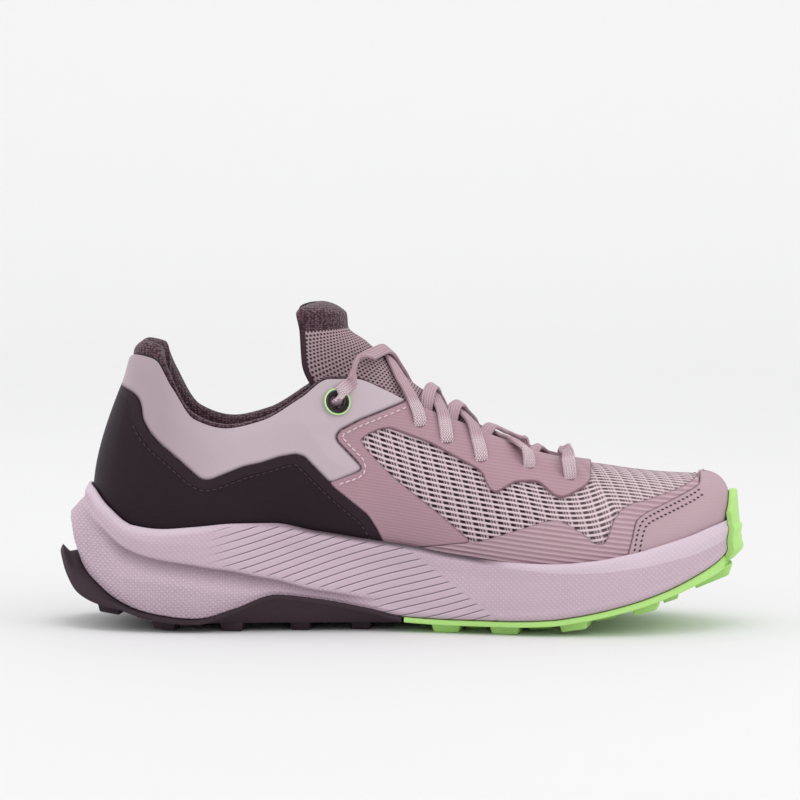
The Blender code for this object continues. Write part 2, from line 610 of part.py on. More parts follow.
def hole_frame(number, side):
    """A lace hole's centre on the upper's face, the way the face looks there, and its station."""
    places = np.linspace(0.38, 0.80, 211), np.linspace(0.4, 1.0, 151)
    station, height = np.meshgrid(*places, indexing="ij")
    face = wall_point(station, height, side)
    x, z = place_x(EYELETS["at"][number]), EYELETS["height"][number] * COLLAR_HEIGHT
    nearest = np.argmin((face[..., 0] - x) ** 2 + (face[..., 2] - z) ** 2)
    at, up = station.flat[nearest], height.flat[nearest]
    return face.reshape(-1, 3)[nearest], wall_normal(at, up, side), float(at)


def hole_cutter(name, into, number, side, radius):
    """A round cutter through the wall at a lace hole."""
    centre, axis, _ = hole_frame(number, side)
    shape = bmesh.new()
    bmesh.ops.create_cone(
        shape, cap_ends=True, segments=6 if number else 8, radius1=radius, radius2=radius, depth=0.016
    )
    mesh = bpy.data.meshes.new(name)
    shape.to_mesh(mesh)
    shape.free()
    made = bpy.data.objects.new(name, mesh)
    into.objects.link(made)
    made.rotation_mode = "QUATERNION"
    made.rotation_quaternion = Vector(axis).to_track_quat("Z", "Y")
    made.location = centre
    return as_helper(made)


def side_point(station, side, z, out, clear=0.0):
    """A point out from the upper's wall at a height, or from its bottom edge below it, and clear
    of the wall across its lean."""
    heights = np.linspace(0, 0.8, 60)
    curve = wall_point(np.full(60, float(station)), heights, side)
    facing = seat_facing(station, side)
    level = max(z, curve[0, 2])
    x, y = (np.interp(level, curve[:, 2], curve[:, i]) for i in (0, 1))
    lean = np.gradient(curve[:, :2] @ facing, curve[:, 2])
    out = out + clear * math.sqrt(1 + np.interp(level, curve[:, 2], lean) ** 2)
    return np.array([x + facing[0] * out, y + facing[1] * out, z])


def middle_point(station):
    """Where a station's line meets the middle of the sole: short of the heel and the toe."""
    inset = 0.07
    share = float(np.clip(seat_share(station), HEEL_END + inset, TOE_END - inset))
    return np.array([place_x(share), float(along(PLAN, "at", "swing", share)) * LENGTH])


def under_edge(station, side):
    """The sole's bottom edge, and its height over the rocker there."""
    out = float(along(SOLE, "station", "bottom_out", station)) * FLARE
    edge = side_point(station, side, 0.0, out)
    wing = float(along(SOLE, "station", "wing", station)) * HEEL_STACK
    edge[2] = height_at(ROCKER, edge[0]) + wing
    return edge


def sole_profile(station, side):
    """One station of the midsole, from the middle of its underside round its side, over the rim,
    down inside the rim and across the footbed, as a row of points."""
    line = {name: float(along(SOLE, "station", name, station)) for name in SOLE if name != "station"}
    out = {name: line[name + "_out"] * FLARE for name in ("bottom", "band", "under", "crease", "rim")}
    edge, middle = under_edge(station, side), middle_point(station)
    seat = float(height_at(FOOTBED, seat_edge(station, side)[0]))
    rim = seat + line["rim"] * RIM_RISE
    band, crease = (edge[2] + line[name] * (rim - edge[2]) for name in ("band", "crease"))
    clear = OVERLAY + 3 * GAP
    bed = seat - GAP
    keel = []
    for share in ROW_SHARES:
        x, y = middle + (edge[:2] - middle) * share
        keel.append(np.array([x, y, float(height_at(ROCKER, x))]))
    lower_half = side_point(station, side, band, out["band"])
    lower_half = 0.5 * (edge + lower_half) + 0.06 * FLARE * np.append(seat_facing(station, side), 0)
    outer = [
        edge,
        lower_half,
        side_point(station, side, band, out["band"]),
        side_point(station, side, crease - 0.05 * (rim - edge[2]), out["under"]),
        side_point(station, side, crease, out["crease"]),
        side_point(
            station, side, 0.45 * crease + 0.55 * rim, 0.6 * out["crease"] + 0.4 * out["rim"], 0.4 * clear
        ),
        side_point(station, side, rim - 0.07 * RIM_RISE, out["rim"], clear),
        side_point(station, side, rim, 0.6 * out["rim"], clear),
    ]
    inner = [
        side_point(station, side, rim + share * (bed - rim), 0.0, clear) for share in (0, 0.4, 0.75, 1)
    ]
    for share in (0.5, 0.0):
        x, y = middle + (inner[3][:2] - middle) * share
        inner.append(np.array([x, y, float(height_at(FOOTBED, x)) - GAP]))
    return np.array(keel + outer + inner)


def make_midsole(into):
    stations = all_stations()
    grids = [np.array([sole_profile(s, side) for s in stations]) for side in (-1, 1)]
    midsole = mesh_object("midsole", grids, into)
    finish(midsole, "midsole")
    return midsole


def make_upper(into, cutters):
    upper = wall_sheet("upper", into)
    thicken = upper.modifiers.new("wall", "SOLIDIFY")
    thicken.thickness = WALL
    thicken.offset = -1.0
    thicken.use_even_offset = True
    baked(upper)
    for cutter in cutters:
        boolean(upper, cutter, "DIFFERENCE")
    finish(upper, "upper")
    return upper


def make_overlay(name, into, helpers, outline, cutters=(), across=(-BALL_WIDTH, BALL_WIDTH)):
    """An overlay cut from between two larger forms of the upper by its outline from the side."""
    overlay = shell_between(name, into, GAP, GAP + OVERLAY)
    boolean(overlay, outline_prism(name + "_outline", helpers, outline, across), "INTERSECT")
    for cutter in cutters:
        boolean(overlay, cutter, "DIFFERENCE")
    finish(overlay, name.removesuffix("_inner").removesuffix("_outer"))
    return overlay


def collar_section(station, side):
    """The padded collar at one station: down inside the wall and rolled over its edge."""
    rise = float(along(COLLAR, "station", "rise", station))
    pad = float(along(COLLAR, "station", "pad", station))
    heights = np.array([0.62, 0.80, 0.90, 0.985])
    outer = wall_point(station, heights, side)
    normal = wall_normal(station, heights, side)
    edge, edge_normal = wall_point(station, 1.0, side), wall_normal(station, 0.97, side)
    clear = WALL + 4.5 * GAP
    depth = pad * np.array([0.35, 0.80, 1.0, 1.0])
    up = np.array([0.0, 0.0, 1.0])
    against = outer - normal * clear
    inside = outer - normal * (clear + depth)[:, None]
    roll = [
        edge - edge_normal * clear + up * GAP * 3,
        edge - edge_normal * 0.0002 + up * GAP * 4,
        edge - edge_normal * 0.0003 + up * rise * 0.55,
        edge - edge_normal * (0.28 * (clear + pad)) + up * rise * 0.92,
        edge - edge_normal * (0.58 * (clear + pad)) + up * rise,
        edge - edge_normal * (0.90 * (clear + pad)) + up * rise * 0.66,
    ]
    return np.array([*against, *roll, *inside[::-1], against[0]])


def make_collar(into):
    stations = all_stations()
    stations = [*stations[stations < COLLAR_FRONT - 0.3 / STATIONS], COLLAR_FRONT]
    grids = []
    for side in (-1, 1):
        loops = np.array([collar_section(s, side) for s in stations])
        end = loops[-1]
        grids += [loops, np.stack([end[:7], end[13:6:-1]])]
    collar = mesh_object("collar_lining", grids, into)
    finish(collar, "collar_lining")
    return collar


def tongue_section(row, across=9):
    """The tongue at one row: an arc over the instep and the same arc set in by its thickness."""
    value = {name: float(along(TONGUE, "row", name, row)) for name in TONGUE if name != "row"}
    swing = float(along(PLAN, "at", "swing", value["ridge_x"])) * LENGTH * 0.5
    angle = np.linspace(-1, 1, across) * TONGUE_WRAP
    side_share = np.sin(angle) / math.sin(TONGUE_WRAP)
    back_share = (1 - np.cos(angle)) / (1 - math.cos(TONGUE_WRAP))
    ridge = np.array([place_x(value["ridge_x"]), swing, value["ridge_z"]])
    drop = np.array([place_x(value["edge_x"]), swing, value["edge_z"]]) - ridge
    outer = ridge + back_share[:, None] * drop
    outer[:, 1] += side_share * value["edge_y"]
    depth = drop / np.linalg.norm(drop)
    inward = np.cos(angle)[:, None] * depth
    inward[:, 1] -= np.sin(angle)
    thick = value["thick"] * (0.45 + 0.55 * np.cos(angle / TONGUE_WRAP * math.pi / 2) ** 0.5)
    inner = outer + inward * thick[:, None]
    return np.array([*outer, *inner[::-1], outer[0]])


def make_tongue_piece(name, into, first, last, count, taper):
    rows = np.linspace(first, last, count)
    loops = np.array([tongue_section(row) for row in rows])
    if taper:
        middle = loops[-1].mean(0)
        loops[-1] = middle + (loops[-1] - middle) * 0.80
    half = len(loops[0]) // 2
    ends = [np.stack([loop[:half], loop[-2 : half - 1 : -1]]) for loop in (loops[0], loops[-1])]
    piece = mesh_object(name, [loops, *ends], into)
    finish(piece, name)
    return piece


def make_insole(into):
    """The sock liner on the footbed, just inside the upper's wall."""
    stations = all_stations()
    grids = []
    for side in (-1, 1):
        rows = []
        for s in stations:
            edge = seat_edge(s, side) - seat_facing(s, side) * (WALL + 3 * GAP)
            middle = middle_point(s)
            places = [middle + (edge - middle) * share for share in (0.0, 0.5, 1.0)]
            low = [[*p, float(height_at(FOOTBED, p[0])) + GAP] for p in places]
            high = [[*p[:2], p[2] + INSOLE] for p in low[::-1]]
            rows.append([*low, *high])
        grids.append(np.array(rows))
    insole = mesh_object("insole", grids, into)
    finish(insole, "insole")
    return insole


def rubber_row(station, side):
    """One station of an outsole plate: its top under the midsole, its lip and its tread face."""
    middle, edge = middle_point(station), under_edge(station, side)
    facing = seat_facing(station, side)
    tail, cup, rim = (float(along(LIP, "station", name, station)) for name in ("tail", "cup", "rim"))
    wing = edge[2] - float(height_at(ROCKER, edge[0]))
    top, under = [], []
    for share in ROW_SHARES:
        x, y = middle + (edge[:2] - middle) * share
        high, low = float(height_at(ROCKER, x)) - GAP, float(height_at(TREAD, x))
        top.append([x, y, high])
        under.append([x, y, min(low, high - 0.7 * RUBBER)])
    edge[2] -= GAP
    near, root, tip, far = (edge[:2] + facing * share * tail * TAIL for share in (0.5, 0.4, 0.85, 1.0))
    tread = [float(height_at(TREAD, place[0])) + wing for place in (root, tip, far)]
    tip_z = min(tread[1] + rim * RUBBER, edge[2] + (1.55 * tail - 0.25) * RUBBER)
    far_z = min(tread[2], edge[2] - 0.2 * RUBBER, tip_z - 0.25 * RUBBER)
    root_z = min(tread[0], edge[2] - RUBBER, far_z - 0.1 * RUBBER)
    near_z = edge[2] - cup * abs(edge[2] - tip_z)
    lip = [[*edge], [*near, near_z], [*tip, tip_z], [*far, far_z], [*root, root_z]]
    return np.array(top + lip + under[::-1])


def lug_block(shape, root, long, wide, turn, lean):
    """A tapered block down from the tread, level with the floor where it reaches it."""
    x, y, under = root
    cos, sin = math.cos(turn), math.sin(turn)
    for corner in bmesh.ops.create_cube(shape, size=1.0)["verts"]:
        below = corner.co.z < 0
        taper = 0.80 if below else 1.0
        along_x, along_y = corner.co.x * long * taper, corner.co.y * wide * taper
        place = x + cos * along_x - sin * along_y
        face = under + lean * (place - x)
        z = max(face - LUG_DEPTH, 0.0) if below else face + 0.5 * RUBBER
        corner.co = (place, y + sin * along_x + cos * along_y, z)


def make_lugs(name, into, lugs):
    """The lugs, as tapered blocks rooted in the plate, to be fused with it."""
    shape = bmesh.new()
    for share, off, long, wide in zip(*(lugs[c] for c in ("at", "off", "long", "wide"))):
        x = float(place_x(share))
        under = float(height_at(TREAD, x))
        lean = float(height_at(TREAD, x + 0.002) - height_at(TREAD, x - 0.002)) / 0.004
        middle = float(along(PLAN, "at", "swing", share)) * LENGTH
        for side in (-1, 1) if off else (1,):
            root = (x, middle + side * off * BALL_WIDTH, under)
            lug_block(shape, root, long * LUG_SIZE, wide * LUG_SIZE, side * off * math.radians(30), lean)
    mesh = bpy.data.meshes.new(name)
    shape.to_mesh(mesh)
    shape.free()
    blocks = as_helper(bpy.data.objects.new(name, mesh))
    into.objects.link(blocks)
    return blocks


def make_outsole(name, into, stations, lugs, bumper=None):
    """A rubber plate under the midsole, closed across the shoe where it ends, with lugs fused on."""
    grids, top = [], len(ROW_SHARES) + 3
    for side in (-1, 1):
        rows = np.array([rubber_row(s, side) for s in stations])
        grids.append(rows)
        for station, row in ((stations[0], rows[0]), (stations[-1], rows[-1])):
            if 0 < station < 1:
                grids.append(np.stack([row[:top], row[: top - 2 : -1]]))
    plate = mesh_object(name, grids, into)
    for piece in [make_lugs(name + "_lugs", into, lugs)] + ([bumper] if bumper else []):
        boolean(plate, piece, "UNION")
        bpy.data.objects.remove(piece, do_unlink=True)
    finish(plate, name)
    return plate


def bumper_row(station, side):
    """One station of the toe bumper, up the front of the sole and over the toe of the upper."""
    line = {name: float(along(BUMPER, "station", name, station)) for name in ("top", "foot", "head")}
    profile = sole_profile(station, side)[len(ROW_SHARES) : len(ROW_SHARES) + 8]
    facing = np.append(seat_facing(station, side), 0)
    top = line["top"] * TOE_HEIGHT
    rim = profile[-2]
    head = side_point(station, side, top, 0.0, OVERLAY + 3 * GAP)
    inner = [p + facing * GAP for p in (*profile[:6], rim)] + [head]
    inner.insert(0, inner[0] - np.array([0, 0, 1.5 * RUBBER]))
    share = np.linspace(0, 1, len(inner)) ** 0.8
    thick = FLARE * (line["foot"] + (line["head"] - line["foot"]) * share)
    thick[0] *= 0.4
    outer = [p + facing * t for p, t in zip(inner, thick)]
    return np.array([*inner, *outer[::-1], inner[0]])


def make_bumper(into):
    signed = np.linspace(BUMPER["station"][0], 2 - BUMPER["station"][0], 9)
    rows = np.array([bumper_row(*(float(v) for v in folded(s, -1))) for s in signed])
    half = len(rows[0]) // 2
    ends = [np.stack([row[:half], row[-2 : half - 1 : -1]]) for row in (rows[0], rows[-1])]
    return as_helper(mesh_object("bumper", [rows, *ends], into))


def make_outsoles(into):
    """The heel's rubber as far as RUBBER_SPLIT, and the forefoot's from just ahead of it."""
    stations = all_stations()
    heel = [*stations[stations < RUBBER_SPLIT - 0.01], RUBBER_SPLIT]
    toe = [RUBBER_SPLIT + 0.003, *stations[stations > RUBBER_SPLIT + 0.005]]
    make_outsole("outsole_heel", into, heel, HEEL_LUGS)
    make_outsole("outsole_forefoot", into, toe, TOE_LUGS, make_bumper(into))


def resting_height(trees, x, y):
    """The highest face below a point, looking straight down."""
    hits = [tree.ray_cast(Vector((x, y, 1.0)), Vector((0, 0, -1)))[0] for tree in trees]
    return max((hit.z for hit in hits if hit), default=0.0)


def taut(shares, heights):
    """The heights of a string pulled over supports: their upper hull."""
    kept = []
    for point in zip(shares, heights):
        while len(kept) > 1 and (kept[-1][1] - kept[-2][1]) * (point[0] - kept[-2][0]) <= (
            point[1] - kept[-2][1]
        ) * (kept[-1][0] - kept[-2][0]):
            kept.pop()
        kept.append(point)
    return np.interp(shares, *np.array(kept).T)


def thinned(rows, tolerance):
    """The fewest of these rows that straight lines between them stay this close to."""
    kept = [0]
    while kept[-1] < len(rows) - 1:
        first = kept[-1]
        for last in range(len(rows) - 1, first, -1):
            share = np.linspace(0, 1, last - first + 1)[:, None]
            straight = rows[first] + (rows[last] - rows[first]) * share
            if last == first + 1 or (np.abs(straight - rows[first : last + 1]) < tolerance).all():
                break
        kept.append(last)
    return kept


def make_lace_strip(name, into, supports, start, end):
    """A flat lace laid straight in plan from start to end, taut over the pieces below it."""
    bpy.context.view_layer.update()
    graph = bpy.context.evaluated_depsgraph_get()
    trees = [BVHTree.FromObject(thing, graph) for thing in supports]
    share = np.linspace(0, 1, 49)
    plan = start + (end - start) * share[:, None]
    onward = (end - start) / np.linalg.norm(end - start)
    across = np.array([-onward[1], onward[0]])
    offsets = np.linspace(-0.5, 0.5, 11) * LACE_WIDTH
    below = np.array([[resting_height(trees, *(p + across * o)) for o in offsets] for p in plan])
    tilt = np.array([np.polyfit(offsets, row, 1)[0] for row in below])
    tilt = np.convolve(np.pad(np.clip(tilt, -1.2, 1.2), 6, "edge"), np.ones(13) / 13, "valid")
    clear = (below - tilt[:, None] * offsets).max(1) + LACE_REST * np.sqrt(1 + tilt**2)
    path = np.column_stack([plan, taut(share, clear)])
    kept = thinned(np.column_stack([path[:, 2], tilt * 0.5 * LACE_WIDTH]), 0.75 * GAP)
    path, tilt = path[kept], tilt[kept]
    tangent = np.gradient(path, axis=0)
    tangent /= np.linalg.norm(tangent, axis=1, keepdims=True)
    wide = np.column_stack([np.tile(across, (len(path), 1)), tilt])
    wide -= tangent * (wide * tangent).sum(1, keepdims=True)
    wide /= np.linalg.norm(wide, axis=1, keepdims=True)
    up = np.cross(tangent, wide)
    corners = ((-0.5, 0), (0.5, 0), (0.5, 1), (-0.5, 1), (-0.5, 0))
    loops = np.stack([path + wide * a * LACE_WIDTH + up * b * LACE_THICK for a, b in corners], 1)
    ends = [np.stack([loops[i][:2], loops[i][3:1:-1]]) for i in (0, -1)]
    return mesh_object(name, [loops, *ends], into)


def throat_edge(number, side, forward):
    """A place just inside the throat's edge beside a hole, a little ahead of it in plan."""
    crest = wall_point(hole_frame(number, side)[2] + forward, 1.0, side)
    return np.array([crest[0], crest[1] - side * (WALL + 3 * GAP)])


def make_laces(into, supports):
    """The bar at the toe end, then each pair of laces that cross, fused where they meet."""
    last = len(EYELETS["at"]) - 1
    bar = [hole_frame(last, side)[0][:2] for side in (-1, 1)]
    laid = [make_lace_strip("lace_bar", into, supports, *bar)]
    for number in range(last - 1, -1, -1):
        strips = []
        for side in (-1, 1):
            start = hole_frame(number + 1, side)[0][:2]
            if number == last - 1:
                start = throat_edge(last, side, -0.012)
            end = hole_frame(0, -side)[0][:2] if number == 0 else throat_edge(number, -side, 0.010)
            name = f"lace_crossing_{number + 1}"
            strips.append(make_lace_strip(name, into, supports + laid, start, end))
        crossing, other = strips
        boolean(crossing, other, "UNION")
        bpy.data.objects.remove(other, do_unlink=True)
        laid.append(crossing)
    for lace in laid:
        finish(lace, "lace")


def make_eyelet(name, into, side):
    """A grommet's rim round the top eyelet: a turned ring on the panel's face."""
    centre, axis, _ = hole_frame(0, side)
    profile = [
        (EYELET_BORE, 0.0), (EYELET_RADIUS, 0.0), (EYELET_RADIUS, 0.0007),
        (EYELET_RADIUS - 0.0008, 0.0012), (EYELET_BORE, 0.0012), (EYELET_BORE, 0.0),
    ]
    turns = np.linspace(0, 2 * math.pi, 15)
    ring = np.array([[(r * math.cos(a), r * math.sin(a), h) for r, h in profile] for a in turns])
    eyelet = mesh_object(name, [ring], into)
    eyelet.rotation_mode = "QUATERNION"
    eyelet.rotation_quaternion = Vector(axis).to_track_quat("Z", "Y")
    eyelet.location = centre + axis * (OVERLAY + 3 * GAP)
    bpy.context.view_layer.update()
    eyelet.data.transform(eyelet.matrix_world)
    eyelet.rotation_quaternion = (1, 0, 0, 0)
    eyelet.location = (0, 0, 0)
    finish(eyelet, "eyelet")
    return eyelet


def main():
    clear_scene()
    shoe, helpers = collection("trail_shoe"), collection("cutters")
    helpers.hide_render = True
    make_outsoles(shoe)
    make_midsole(shoe)
    make_insole(shoe)
    holes = [
        hole_cutter(f"hole_{n}_{side}", helpers, n, side, LACE_HOLE_RADIUS if n else EYELET_BORE)
        for n in range(len(EYELETS["at"]))
        for side in (-1, 1)
    ]
    upper = make_upper(shoe, holes)
    make_overlay("heel_counter", shoe, helpers, COUNTER_OUTLINE)
    panel = make_overlay("collar_panel", shoe, helpers, PANEL_OUTLINE, holes[:2])
    eyestay = make_overlay("eyestay", shoe, helpers, EYESTAY_OUTLINE, holes[2:])
    make_overlay("toe_cap", shoe, helpers, TOE_CAP_OUTLINE)
    middle = float(along(PLAN, "at", "swing", 0.9)) * LENGTH
    for name, side in (("mudguard_inner", -1), ("mudguard_outer", 1)):
        across = sorted((middle + side * GAP, side * BALL_WIDTH))
        make_overlay(name, shoe, helpers, MUDGUARD_OUTLINE, across=across)
    make_collar(shoe)
    tongue = make_tongue_piece("tongue", shoe, 0, TONGUE_SEAM, 13, False)
    make_tongue_piece("tongue_top", shoe, TONGUE_SEAM + 0.08, 8, 6, True)
    eyelets = [make_eyelet("eyelet_inner", shoe, -1), make_eyelet("eyelet_outer", shoe, 1)]
    bpy.context.view_layer.update()
    make_laces(shoe, [upper, panel, eyestay, tongue, *eyelets])


main()
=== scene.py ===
"""Looks of a trail running shoe, left foot, made section by section as the shoe is put together.

Everything is in metres in the frame of the CAD: +X to the toe, -Y to the inner side, +Z up.
"""
import math

import bmesh
import bpy
import numpy as np
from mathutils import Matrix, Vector
from mathutils.bvhtree import BVHTree


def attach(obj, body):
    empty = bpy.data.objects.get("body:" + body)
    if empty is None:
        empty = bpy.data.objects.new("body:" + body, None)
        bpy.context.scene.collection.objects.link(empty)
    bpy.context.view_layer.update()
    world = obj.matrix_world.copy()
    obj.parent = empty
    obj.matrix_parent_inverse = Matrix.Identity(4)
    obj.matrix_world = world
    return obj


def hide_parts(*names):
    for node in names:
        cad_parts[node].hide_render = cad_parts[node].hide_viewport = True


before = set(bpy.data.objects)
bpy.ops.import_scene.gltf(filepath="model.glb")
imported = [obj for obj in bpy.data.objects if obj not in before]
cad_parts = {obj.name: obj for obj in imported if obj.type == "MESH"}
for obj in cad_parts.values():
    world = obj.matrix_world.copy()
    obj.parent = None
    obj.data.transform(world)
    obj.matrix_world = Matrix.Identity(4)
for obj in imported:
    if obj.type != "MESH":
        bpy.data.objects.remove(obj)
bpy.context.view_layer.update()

# Studio: a pale floor that curves up behind the shoe, wide soft lights over it and a long lens
# level with the shoe's side, as for a catalogue.

FLOOR_FRONT, FLOOR_BACK, FLOOR_WIDE, SWEEP = -3.0, 1.9, 4.0, 1.3
PAPER_NEAR, PAPER_FAR = (0.75, 0.75, 0.755), (0.93, 0.93, 0.935)
CAMERA_AIM = (0.0822, 0.0, 0.0933)
CAMERA_AWAY, CAMERA_PITCH, CAMERA_LENS = 1.5, math.radians(4), 160.7


def add_object(name, data):
    """Puts an object in the scene at the origin."""
    added = bpy.data.objects.new(name, data)
    bpy.context.scene.collection.objects.link(added)
    return added


def shaded(name, mesh, sharp):
    """A piece of a mesh, smooth but for edges past an angle in degrees."""
    mesh.shade_smooth()
    mesh.set_sharp_from_angle(angle=math.radians(sharp))
    return add_object(name, mesh)


def welded(name, points, faces, marks, weld, sharp, clean=True):
    """A piece of points and faces, welded where points meet and faced outward. marks, if any, are
    each point's three numbers on the cloth."""
    mesh = bpy.data.meshes.new(name)
    mesh.from_pydata(points, [], faces)
    if marks is not None:
        mesh.attributes.new("cloth", "FLOAT_VECTOR", "POINT").data.foreach_set("vector", marks.ravel())
    shape = bmesh.new()
    shape.from_mesh(mesh)
    bmesh.ops.remove_doubles(shape, verts=shape.verts, dist=weld)
    if clean:
        bmesh.ops.dissolve_degenerate(shape, edges=shape.edges, dist=weld)
    bmesh.ops.recalc_face_normals(shape, faces=shape.faces)
    if shape.calc_volume(signed=True) < 0:
        bmesh.ops.reverse_faces(shape, faces=shape.faces)
    shape.to_mesh(mesh)
    shape.free()
    return shaded(name, mesh, sharp)


def surface(name, grids, caps=(), sharp=40, marks=()):
    """A piece through grids of points: each cell of a grid is one face, and grids are welded where
    they meet. caps are closed loops of points that are filled with one face each, and marks give
    each point of the grids and caps its place on the cloth."""
    points, faces, start = [], [], 0
    for grid in grids:
        rows, across = grid.shape[:2]
        first = (np.arange(rows - 1)[:, None] * across + np.arange(across - 1)).ravel() + start
        faces += np.stack([first, first + 1, first + across + 1, first + across], -1).tolist()
        points.append(grid.reshape(-1, 3))
        start += rows * across
    for loop in caps:
        faces.append(list(range(start, start + len(loop))))
        points.append(loop)
        start += len(loop)
    cloth = np.concatenate([mark.reshape(-1, 3) for mark in marks]) if len(marks) else None
    return welded(name, np.concatenate(points), faces, cloth, 2e-6, sharp)


def new_material(name, colour, roughness, **sockets):
    """A material with its shader, which takes a number or a colour on each named socket."""
    material = bpy.data.materials.new(name)
    material.use_nodes = True
    shader = material.node_tree.nodes["Principled BSDF"]
    shader.inputs["Base Color"].default_value = (*colour, 1)
    shader.inputs["Roughness"].default_value = roughness
    for socket, value in sockets.items():
        shader.inputs[socket.replace("_", " ")].default_value = value
    return material


class Number:
    """A number that varies over a face: each sum made of it adds a node."""

    def __init__(self, socket):
        self.socket, self.tree = socket, socket.id_data

    def __add__(self, other):
        return maths("ADD", self, other)

    def __sub__(self, other):
        return maths("SUBTRACT", self, other)

    def __rsub__(self, other):
        return maths("SUBTRACT", other, self)

    def __mul__(self, other):
        return maths("MULTIPLY", self, other)

    def __truediv__(self, other):
        return maths("DIVIDE", self, other)


def join(value, socket):
    """Sets an input to a number or a colour, or joins it to an output."""
    value = value.socket if isinstance(value, Number) else value
    if isinstance(value, bpy.types.NodeSocket):
        socket.id_data.links.new(value, socket)
    elif value is not None:
        socket.default_value = (*value, 1) if socket.type == "RGBA" else value


def add(tree, kind, *inputs, **settings):
    """A node with its settings, and its first inputs set or joined in order."""
    node = tree.nodes.new("ShaderNode" + kind)
    for setting, value in settings.items():
        setattr(node, setting, value)
    for socket, value in zip(node.inputs, inputs):
        join(value, socket)
    return node


def maths(operation, *values):
    """One Math node, such as ADD or FRACT, on numbers that may vary."""
    tree = next(value.tree for value in values if isinstance(value, Number))
    return Number(add(tree, "Math", *values, operation=operation).outputs[0])


def ramp(value, start, end, low=0.0, high=1.0, form="LINEAR"):
    """A change from low at start to high at end, level outside them."""
    node = add(value.tree, "MapRange", value, start, end, low, high, interpolation_type=form)
    return Number(node.outputs[0])


def blend(share, low, high):
    """Two colours mixed by a share that varies."""
    node = add(share.tree, "Mix", data_type="RGBA")
    for number, value in ((0, share), (6, low), (7, high)):
        join(value, node.inputs[number])
    return node.outputs[2]


def on_shoe(tree):
    """A point's x, y and z in the shoe's frame, inside a material."""
    vector = add(tree, "TexCoord").outputs["Object"]
    return [Number(part) for part in add(tree, "SeparateXYZ", vector).outputs]


def paint(material, colour, height=None, depth=0.0):
    """Joins a colour and a height, whose unit is a depth in metres, to a material's shader."""
    tree = material.node_tree
    shader = tree.nodes["Principled BSDF"]
    join(colour, shader.inputs["Base Color"])
    if height is not None:
        bump = add(tree, "Bump")
        bump.inputs["Distance"].default_value = depth
        join(height, bump.inputs["Height"])
        join(bump.outputs[0], shader.inputs["Normal"])


turn = np.linspace(0, math.pi / 2, 24)
curve = np.column_stack([FLOOR_BACK + SWEEP * np.sin(turn), SWEEP * (1 - np.cos(turn))])
profile = np.array([[FLOOR_FRONT, 0.0], *curve, [FLOOR_BACK + SWEEP, 4.0]])
places = np.linspace(-FLOOR_WIDE, FLOOR_WIDE, 9)
backdrop = np.stack(
    [np.column_stack([np.full(len(profile), x), profile[:, 0], profile[:, 1]]) for x in places]
)
floor = surface("studio_floor", [backdrop])
paper = new_material("floor_paper", PAPER_FAR, 0.75)
_, back, _ = on_shoe(paper.node_tree)
# The paper is painted paler towards the back and up the sweep: painted light where the lamps reach it
# less.
paint(paper, blend(ramp(back, 0.1, FLOOR_BACK + SWEEP), PAPER_NEAR, PAPER_FAR))
floor.data.materials.append(paper)

camera = add_object("camera", bpy.data.cameras.new("camera"))
camera.data.lens = CAMERA_LENS
camera.data.sensor_width = 36.0
camera.location = (
    CAMERA_AIM[0],
    CAMERA_AIM[1] - CAMERA_AWAY * math.cos(CAMERA_PITCH),
    CAMERA_AIM[2] + CAMERA_AWAY * math.sin(CAMERA_PITCH),
)
camera.rotation_euler = (math.pi / 2 - CAMERA_PITCH, 0, 0)
bpy.context.scene.camera = camera

for name, place, size, power, aim in (
    ("light_over", (0.05, -0.10, 1.3), 0.8, 2.6, (0.08, 0.0, 0.05)),
    ("light_front", (-0.7, -1.6, 1.0), 0.9, 1.8, (0.08, 0.0, 0.06)),
    ("light_toe", (1.4, -0.6, 0.8), 0.9, 4.0, (0.15, 0.0, 0.05)),
    ("light_heel", (-1.3, 0.4, 0.9), 0.9, 2.5, (0.0, 0.0, 0.08)),
):
    lamp = add_object(name, bpy.data.lights.new(name, "AREA"))
    lamp.data.size = size
    lamp.data.energy = power
    lamp.location = place
    away = np.array(place) - np.array(aim)
    across, level = math.atan2(away[0], -away[1]), math.hypot(away[0], away[1])
    lamp.rotation_euler = (math.atan2(level, away[2]), 0, across)

sky = bpy.data.worlds.new("studio_air")
sky.use_nodes = True
sky.node_tree.nodes["Background"].inputs[0].default_value = (1.0, 1.0, 1.0, 1)
sky.node_tree.nodes["Background"].inputs[1].default_value = 1.0
bpy.context.scene.world = sky
bpy.context.scene.view_settings.view_transform = "Standard"

# Heel rubber: one moulded plate of dark rubber from the tail to the arch, with a hollow lip that
# stands out behind the heel, and blocky lugs moulded on. It is glued under the midsole.

LENGTH = 0.287
HEEL_WIDTH, WAIST_WIDTH, BALL_WIDTH = 0.064, 0.062, 0.088
HEEL_STACK, BALL_STACK, TOE_STACK = 0.033, 0.0235, 0.0370
BOTTOM_HEIGHT, HEEL_LIFT, TOE_LIFT = 0.0059, 0.0346, 0.0347
COLLAR_HEIGHT, COLLAR_DIP, THROAT_HEIGHT = 0.112, 0.083, 0.105
VAMP_HEIGHT, TOE_HEIGHT, THROAT_WIDTH = 0.070, 0.062, 0.038
RIM_RISE, FLARE = 0.0260, 0.0125
HEEL_END, TOE_END, HEEL_CURVE, TOE_CURVE, REST_LUG = 0.0660, 0.9460, 0.125, 0.215, 0.200
RUBBER, LUG_DEPTH, LUG_SIZE, TAIL, GAP, OVERLAY = 0.0020, 0.0036, 0.0120, 0.0080, 0.0003, 0.0010
RUBBER_SPLIT = 0.4915
ROW_SHARES = (0.0, 0.25, 0.50, 0.75, 0.92)
RUBBER_DARK = (0.038, 0.023, 0.030)
OVER_GAPS = OVERLAY + 3 * GAP
UP = np.array([0.0, 0.0, 1.0])


def columns(names, *rows):
    """A table as a dictionary of arrays, one for each named column."""
    return dict(zip(names.split(), np.array(rows, float).T))


